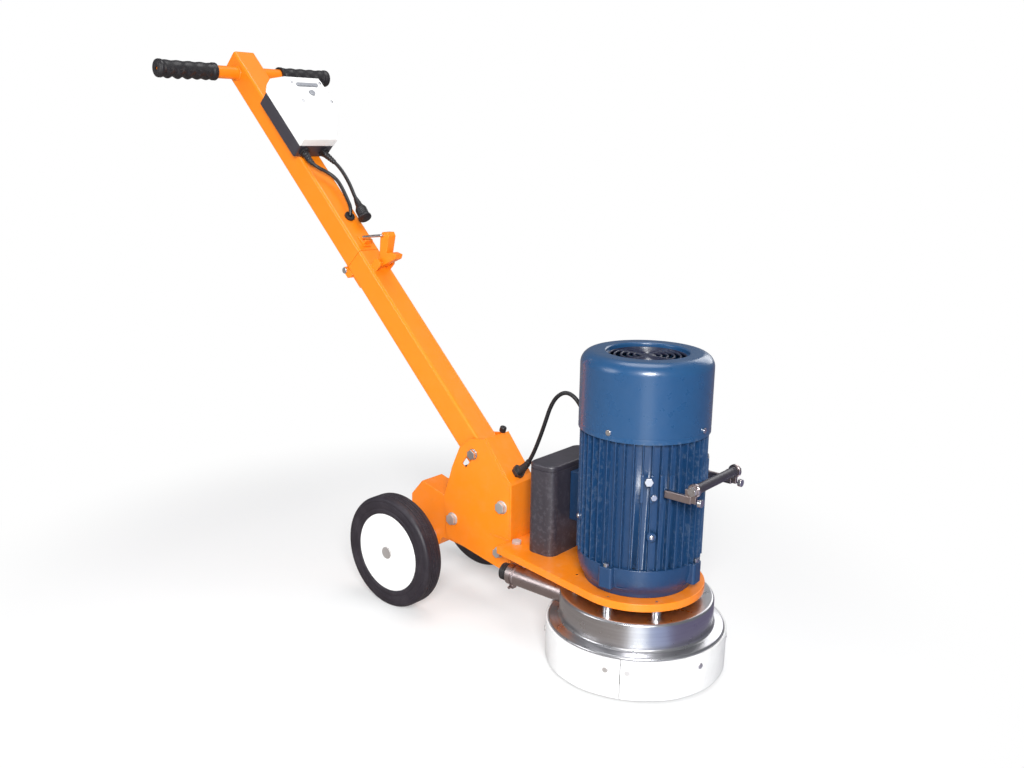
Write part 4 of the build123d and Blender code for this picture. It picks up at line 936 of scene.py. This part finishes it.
def makeLiftHandle():
    arm = {"inside": 0.058, "outside": 0.064, "low": 0.3150, "high": 0.3270, "start": 0.080, "bar": 0.129,
           "barHeight": 0.337, "eye": 0.0105, "edge": 0.0012, "webBack": 0.0145, "webFront": 0.0045}
    # the pad is four of the fins, thickened and proud of the rest
    pad = {"fins": (4, 5, 6, 7), "pitch": 360 / 44, "width": 2.6, "foot": 0.0950, "face": 0.1030, "low": 0.306,
           "high": 0.350, "chamfer": 0.001}
    foot, face, chamfer = pad["foot"], pad["face"], pad["chamfer"]
    padOutline = [(foot, pad["low"]), (face - chamfer, pad["low"]), (face, pad["low"] + chamfer),
                  (face, pad["high"] - chamfer), (face - chamfer, pad["high"]), (foot, pad["high"])]
    bar, edge, eyeRadius = spindle.x + arm["bar"], arm["edge"], arm["eye"]
    half = (arm["outside"] - arm["inside"]) / 2
    eye = mirrored([(0, -half), (eyeRadius - edge, -half), (eyeRadius, -half + edge)])
    inset = half - 0.0003
    pads, arms = [], []
    for side in (-1, 1):
        for fin in pad["fins"]:
            pads.append(turnedPiece("handlePad" + str(side * fin), padOutline, spindle, steps=3,
                                    start=side * fin * pad["pitch"] - pad["width"] / 2, sweep=pad["width"]))
        y = side * (arm["inside"] + arm["outside"]) / 2
        strap = blockPiece("handleArm" + str(side), (spindle.x + arm["start"], y - half, arm["low"]),
                           (bar - 0.004, y + half, arm["high"]))
        easeEdges(strap, edge, 3)
        ring = turnedPiece("handleEye" + str(side), eye, Vector((bar, y, arm["barHeight"])), alongY, 40,
                           closed=False)
        web = blockPiece("handleWeb" + str(side), (bar - arm["webBack"], y - inset, arm["low"] + 0.002),
                         (bar + arm["webFront"], y + inset, arm["barHeight"]))
        easeEdges(web, edge, 3)
        arms += [strap, ring, web]
    padPiece = joinPieces(*pads)
    padPiece.name = "handlePads"
    easeEdges(padPiece, 0.0008, 2)
    place(smooth(padPiece, 40), "frame", "blueCasting", "lift_handle_arms")
    place(joinAs("handleArms", arms, 40), "frame", "drawnPipe", "lift_handle_arms")
    low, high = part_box("lift_handle_grip")
    radius, reach = (high.z - low.z) / 2, high.y
    outline = mirrored([(0, -reach), (radius - edge, -reach), (radius, -reach + edge),
                        (radius, -reach + 0.0060), (radius - 0.0007, -reach + 0.0072)])
    centre = Vector(((low.x + high.x) / 2, 0, (low.z + high.z) / 2))
    grip = turnedPiece("liftGrip", outline, centre, alongY, 40, closed=False)
    place(smooth(grip, 60), "frame", "darkCover", "lift_handle_grip", slot="black_rubber")
    placeCopies("frame", {"lift_handle_bolts": ("liftHandleBolts", "zincPlated", 0.0006, 3)})


# chassis and wheels

def weldBead(name, points, radius, body, seed):
    # a row of overlapping ripples along a joint, painted over
    route = [Vector(point) for point in points]
    length = sum((after - before).length for before, after in zip(route, route[1:]))
    count = max(8, int(length / 0.0016))
    shape = []
    for index in range(count + 1):
        swell = 0.82 + 0.18 * abs(math.sin(index * 1.57)) + 0.10 * noise.noise(Vector((index * 0.9, seed, 0)))
        ends = min(1.0, 0.35 + min(index, count - index) * 0.4)
        shape.append((length * index / count, radius * swell * ends))
    bead = sleeveAlong(name, route, shape, 10)
    return place(bead, body, "orangePowderCoat")


def makeChassis():
    placeCopies("frame", {"side_plate_right": ("sidePlateRight", "orangePowderCoat", 0.0009, 3),
                          "side_plate_left": ("sidePlateLeft", "orangePowderCoat", 0.0009, 3),
                          "front_web": ("frontWeb", "orangePowderCoat", 0.0009, 3),
                          "axle_carrier": ("axleCarrier", "orangePowderCoat", 0.0012, 3),
                          "chassis_bolts": ("chassisBolts", "dullZinc", 0.0007, 3)})
    placeCopies("lower_handle", {"index_bolt": ("clampBolt", "zincPlated", 0.0007, 3)})
    placeCopies("frame", {"bump_stop": ("coverBuffer", "blackRubber", 0.0022, 5),
                          "cable_glands": ("cableGlands", "blackRubber", 0.0006, 3)})
    plateFoot = 0.1462
    for side, label in ((-1, "Right"), (1, "Left")):
        plate, carrier = side * 0.0314, side * 0.0272
        weldBead("plateWeld" + label, [(0.1935, plate, plateFoot), (0.150, plate, plateFoot)], 0.0016, "frame",
                 side)
        weldBead("carrierWeld" + label, [(0.0405, carrier, 0.113), (0.0385, carrier, 0.188)], 0.0020, "frame",
                 side + 4)


def makeWheel(side, turned):
    # half of the tyre's outline, from the rim to the tread's groove at the middle, then mirrored
    centre = wheelCentre[side]
    radius, rim = 0.1027, 0.0712
    half = [(0.0715, 0.0172), (0.0735, 0.0192), (0.0775, 0.0199), (0.0800, 0.0196), (0.0808, 0.0188),
            (0.0822, 0.0188), (0.0830, 0.0197), (0.0880, 0.0200), (0.0925, 0.0197), (0.0932, 0.0189),
            (0.0944, 0.0189), (0.0952, 0.0194)]
    half += arc(0.0952, 0.0119, 0.0075, 84, 12, 7)
    groove = 0.0010
    tread = {0.0098: 0, 0.0080: 0, 0.0076: groove, 0.0062: groove, 0.0058: 0, 0.0030: 0, 0.0026: groove,
             0.0012: groove, 0.0008: 0}
    half += [(radius - depth, height) for height, depth in tread.items()]
    outline = mirrored(half) + [(rim, -0.0100), (rim, 0.0100)]
    tyre = turnedPiece(side + "Tyre", outline, centre, alongY, 168)
    place(smooth(tyre, 55), side + "_wheel", "tyreRubber", "tyre_" + side)
    face = [(0.0082, -0.0180), (0.0210, -0.0180), (0.0220, -0.0170), (0.0222, -0.0080), (0.0600, -0.0090),
            (0.0640, -0.0160), (rim, -0.0176), (0.0722, -0.0160), (0.0722, 0.0160)]
    face += arc(0.0704, 0.0166, 0.0016, 0, 90, 3)
    face += [(0.0680, 0.0180), (0.0662, 0.0168), (0.0655, 0.0150), (0.0648, 0.0144), (0.0600, 0.0146),
             (0.0420, 0.0158), (0.0290, 0.0166), (0.0280, 0.0174), (0.0265, 0.0178), (0.0195, 0.0178),
             (0.0185, 0.0172), (0.0150, 0.0172), (0.0145, 0.0180), (0.0082, 0.0180)]
    outline = [(reach, height * turned) for reach, height in face]
    disc = turnedPiece(side + "WheelDisc", outline, centre, alongY, 120)
    place(smooth(disc, 50), side + "_wheel", "whiteMoulding", "wheel_disc_" + side)


def makeWheels():
    makeWheel("right", -1)
    makeWheel("left", 1)
    placeCopies("frame", {"axle": ("wheelAxle", "dullZinc", 0.0008, 3)})


# handle

barStation = 0.905


def makeGrip(name, side):
    # five finger dips underneath, a collar at the inner end and a flange at the outer one
    shape = {"start": 0.078, "end": 0.2056, "bore": 0.01262, "mouth": 0.004, "steps": 64, "fingers": 5,
             "collar": 0.07, "flange": 0.90, "rim": 0.975, "dip": 0.0034, "crown": 0.0012,
             "studs": (-0.55, 0.0, 0.55), "studTurn": 0.9, "studReach": 0.0166}
    start, end, bore, mouth = (shape[key] for key in ("start", "end", "bore", "mouth"))
    collar, flange, rim, fingers = (shape[key] for key in ("collar", "flange", "rim", "fingers"))
    centre = onColumn(barStation, 0, 0)
    outline = [(bore, start)]
    for index in range(shape["steps"] + 1):
        share = index / shape["steps"]
        radius = 0.0148 + 0.0006 * math.sin(share * math.tau * fingers)
        if share < collar:
            radius = 0.0172 - 0.004 * max(0.0, share / collar - 0.75)
        if share > flange:
            radius = 0.0152 + 0.0022 * min(1.0, (share - flange) / 0.03)
        if share > rim:
            radius -= 0.0050 * ((share - rim) / 0.025) ** 2
        outline.append((radius, start + (end - start) * share))
    outline += [(mouth, end), (mouth, end - 0.003), (bore, end - 0.0035)]
    outline = [(reach, side * along) for reach, along in outline]
    grip = turnedPiece(name, outline, centre, alongY, 48)
    for vertex in grip.data.vertices:
        offset = vertex.co - Vector((centre.x, vertex.co.y, centre.z))
        share = (abs(vertex.co.y) - start) / (end - start)
        if offset.length < 0.0135 or not 0.08 < share < flange:
            continue
        under = max(0.0, offset.normalized().dot(Vector((0.25, 0, -0.97)))) ** 1.3
        finger = 0.5 - 0.5 * math.cos((share - 0.08) / 0.82 * math.tau * fingers)
        upper = max(0.0, offset.normalized().z) ** 2
        vertex.co += offset.normalized() * (shape["dip"] * under * finger + shape["crown"] * upper)
    smooth(grip, 60)
    studs = []
    for index in range(fingers):
        share = 0.08 + 0.82 * (index + 0.5) / fingers
        for swing in shape["studs"]:
            turn = swing + shape["studTurn"]
            outward = Vector((math.sin(turn), 0, -math.cos(turn)))
            spot = centre + alongY * side * (start + (end - start) * share) + outward * shape["studReach"]
            studs.append(screwHead(name + "Stud", spot - outward * 0.0008, outward, 0.0022, 0.0016))
    return joinPieces(grip, *studs)


def makeHandle():
    placeCopies("lower_handle", {"lower_column": ("lowerColumn", "orangePowderCoat", 0.0007, 3)})
    placeCopies("upper_handle", {"upper_column": ("upperColumn", "orangePowderCoat", 0.0007, 3)})
    placeCopies("lower_handle", {"hinge_pin": ("hingePin", "zincPlated", 0.0006, 3)})
    bar = {"reach": 0.2016, "radius": 0.0125, "edge": 0.0008, "weldRing": 0.0132, "weldAt": 0.0256,
           "weldSteps": 24}
    reach, radius, edge = bar["reach"], bar["radius"], bar["edge"]
    outline = mirrored([(0, -reach), (radius - edge, -reach), (radius, -reach + edge), (radius, -0.06)])
    tube = turnedPiece("handleBar", outline, onColumn(barStation, 0, 0), alongY, 48, closed=False)
    place(smooth(tube, 40), "upper_handle", "orangePowderCoat", "handlebar")
    for side, label in ((-1, "Right"), (1, "Left")):
        turns = [math.tau * index / bar["weldSteps"] for index in range(bar["weldSteps"] + 1)]
        ring = [onColumn(barStation + bar["weldRing"] * math.cos(turn), bar["weldRing"] * math.sin(turn),
                         side * bar["weldAt"]) for turn in turns]
        weldBead("barWeld" + label, ring, 0.0019, "upper_handle", side + 9)
    grips = [makeGrip("rightGrip", -1), makeGrip("leftGrip", 1)]
    for grip in grips:
        place(grip, "upper_handle", "blackRubber", "grips")


def makeSwitchBox():
    placeCopies("upper_handle", {"switch_box_base": ("switchBoxBase", "darkCover", 0.0012, 3),
                                 "switch_box_cover": ("switchBoxCover", "whiteMoulding", 0.0014, 3)})
    placeCopies("stop_bar", {"stop_bar": ("stopBar", "buttonGrey", 0.0010, 3)})
    placeCopies("start_button", {"start_button": ("startButton", "buttonGrey", 0.0012, 4)})
    screw = {"stations": (0.7115, 0.7600), "sides": (-0.0345, 0.0345), "face": 0.117, "radius": 0.0033,
             "height": 0.0016}
    heads = []
    for station in screw["stations"]:
        for side in screw["sides"]:
            spot = onColumn(station, screw["face"] - 0.0002, side)
            heads.append(screwHead("boxScrew", spot, columnFront, screw["radius"], screw["height"]))
    place(joinAs("boxScrew", heads, 40), "upper_handle", "zincPlated")
    placeCopies("upper_handle", {"lead_fittings": ("leadFittings", "blackRubber", 0.0005, 3)})


def makeLatch():
    placeCopies("latch_lever", {"latch_lever": ("latchLever", "orangePowderCoat", 0.0010, 3)})
    placeCopies("upper_handle", {"latch_keeper": ("latchKeeper", "orangePowderCoat", 0.0005, 2)})
    placeCopies("latch_bail", {"latch_bail": ("latchBail", "zincPlated", 0, 0)})


def dressCarriedNodes():
    # the inside pieces keep their CAD shape
    inside = {"motor_shaft": "zincPlated", "rotor_core": "machinedIron", "cooling_fan": "blackRubber",
              "drive_hub": "machinedIron", "stator_core": "machinedIron", "stator_windings": "windingVarnish",
              "fan_end_shield": "blueCasting", "motor_bearings": "zincPlated", "capacitors": "drawnAluminium",
              "contactor": "darkCover"}
    for node, finish in inside.items():
        nodes[node].data.materials.clear()
        nodes[node].data.materials.append(finishes[finish])


stages = {"grinding head": makeHead, "motor": makeMotor, "chassis": makeChassis, "wheels": makeWheels,
          "handle": makeHandle, "switch box": makeSwitchBox, "latch": makeLatch, "inside": dressCarriedNodes}
for stage, make in stages.items():
    make()
    print(stage)
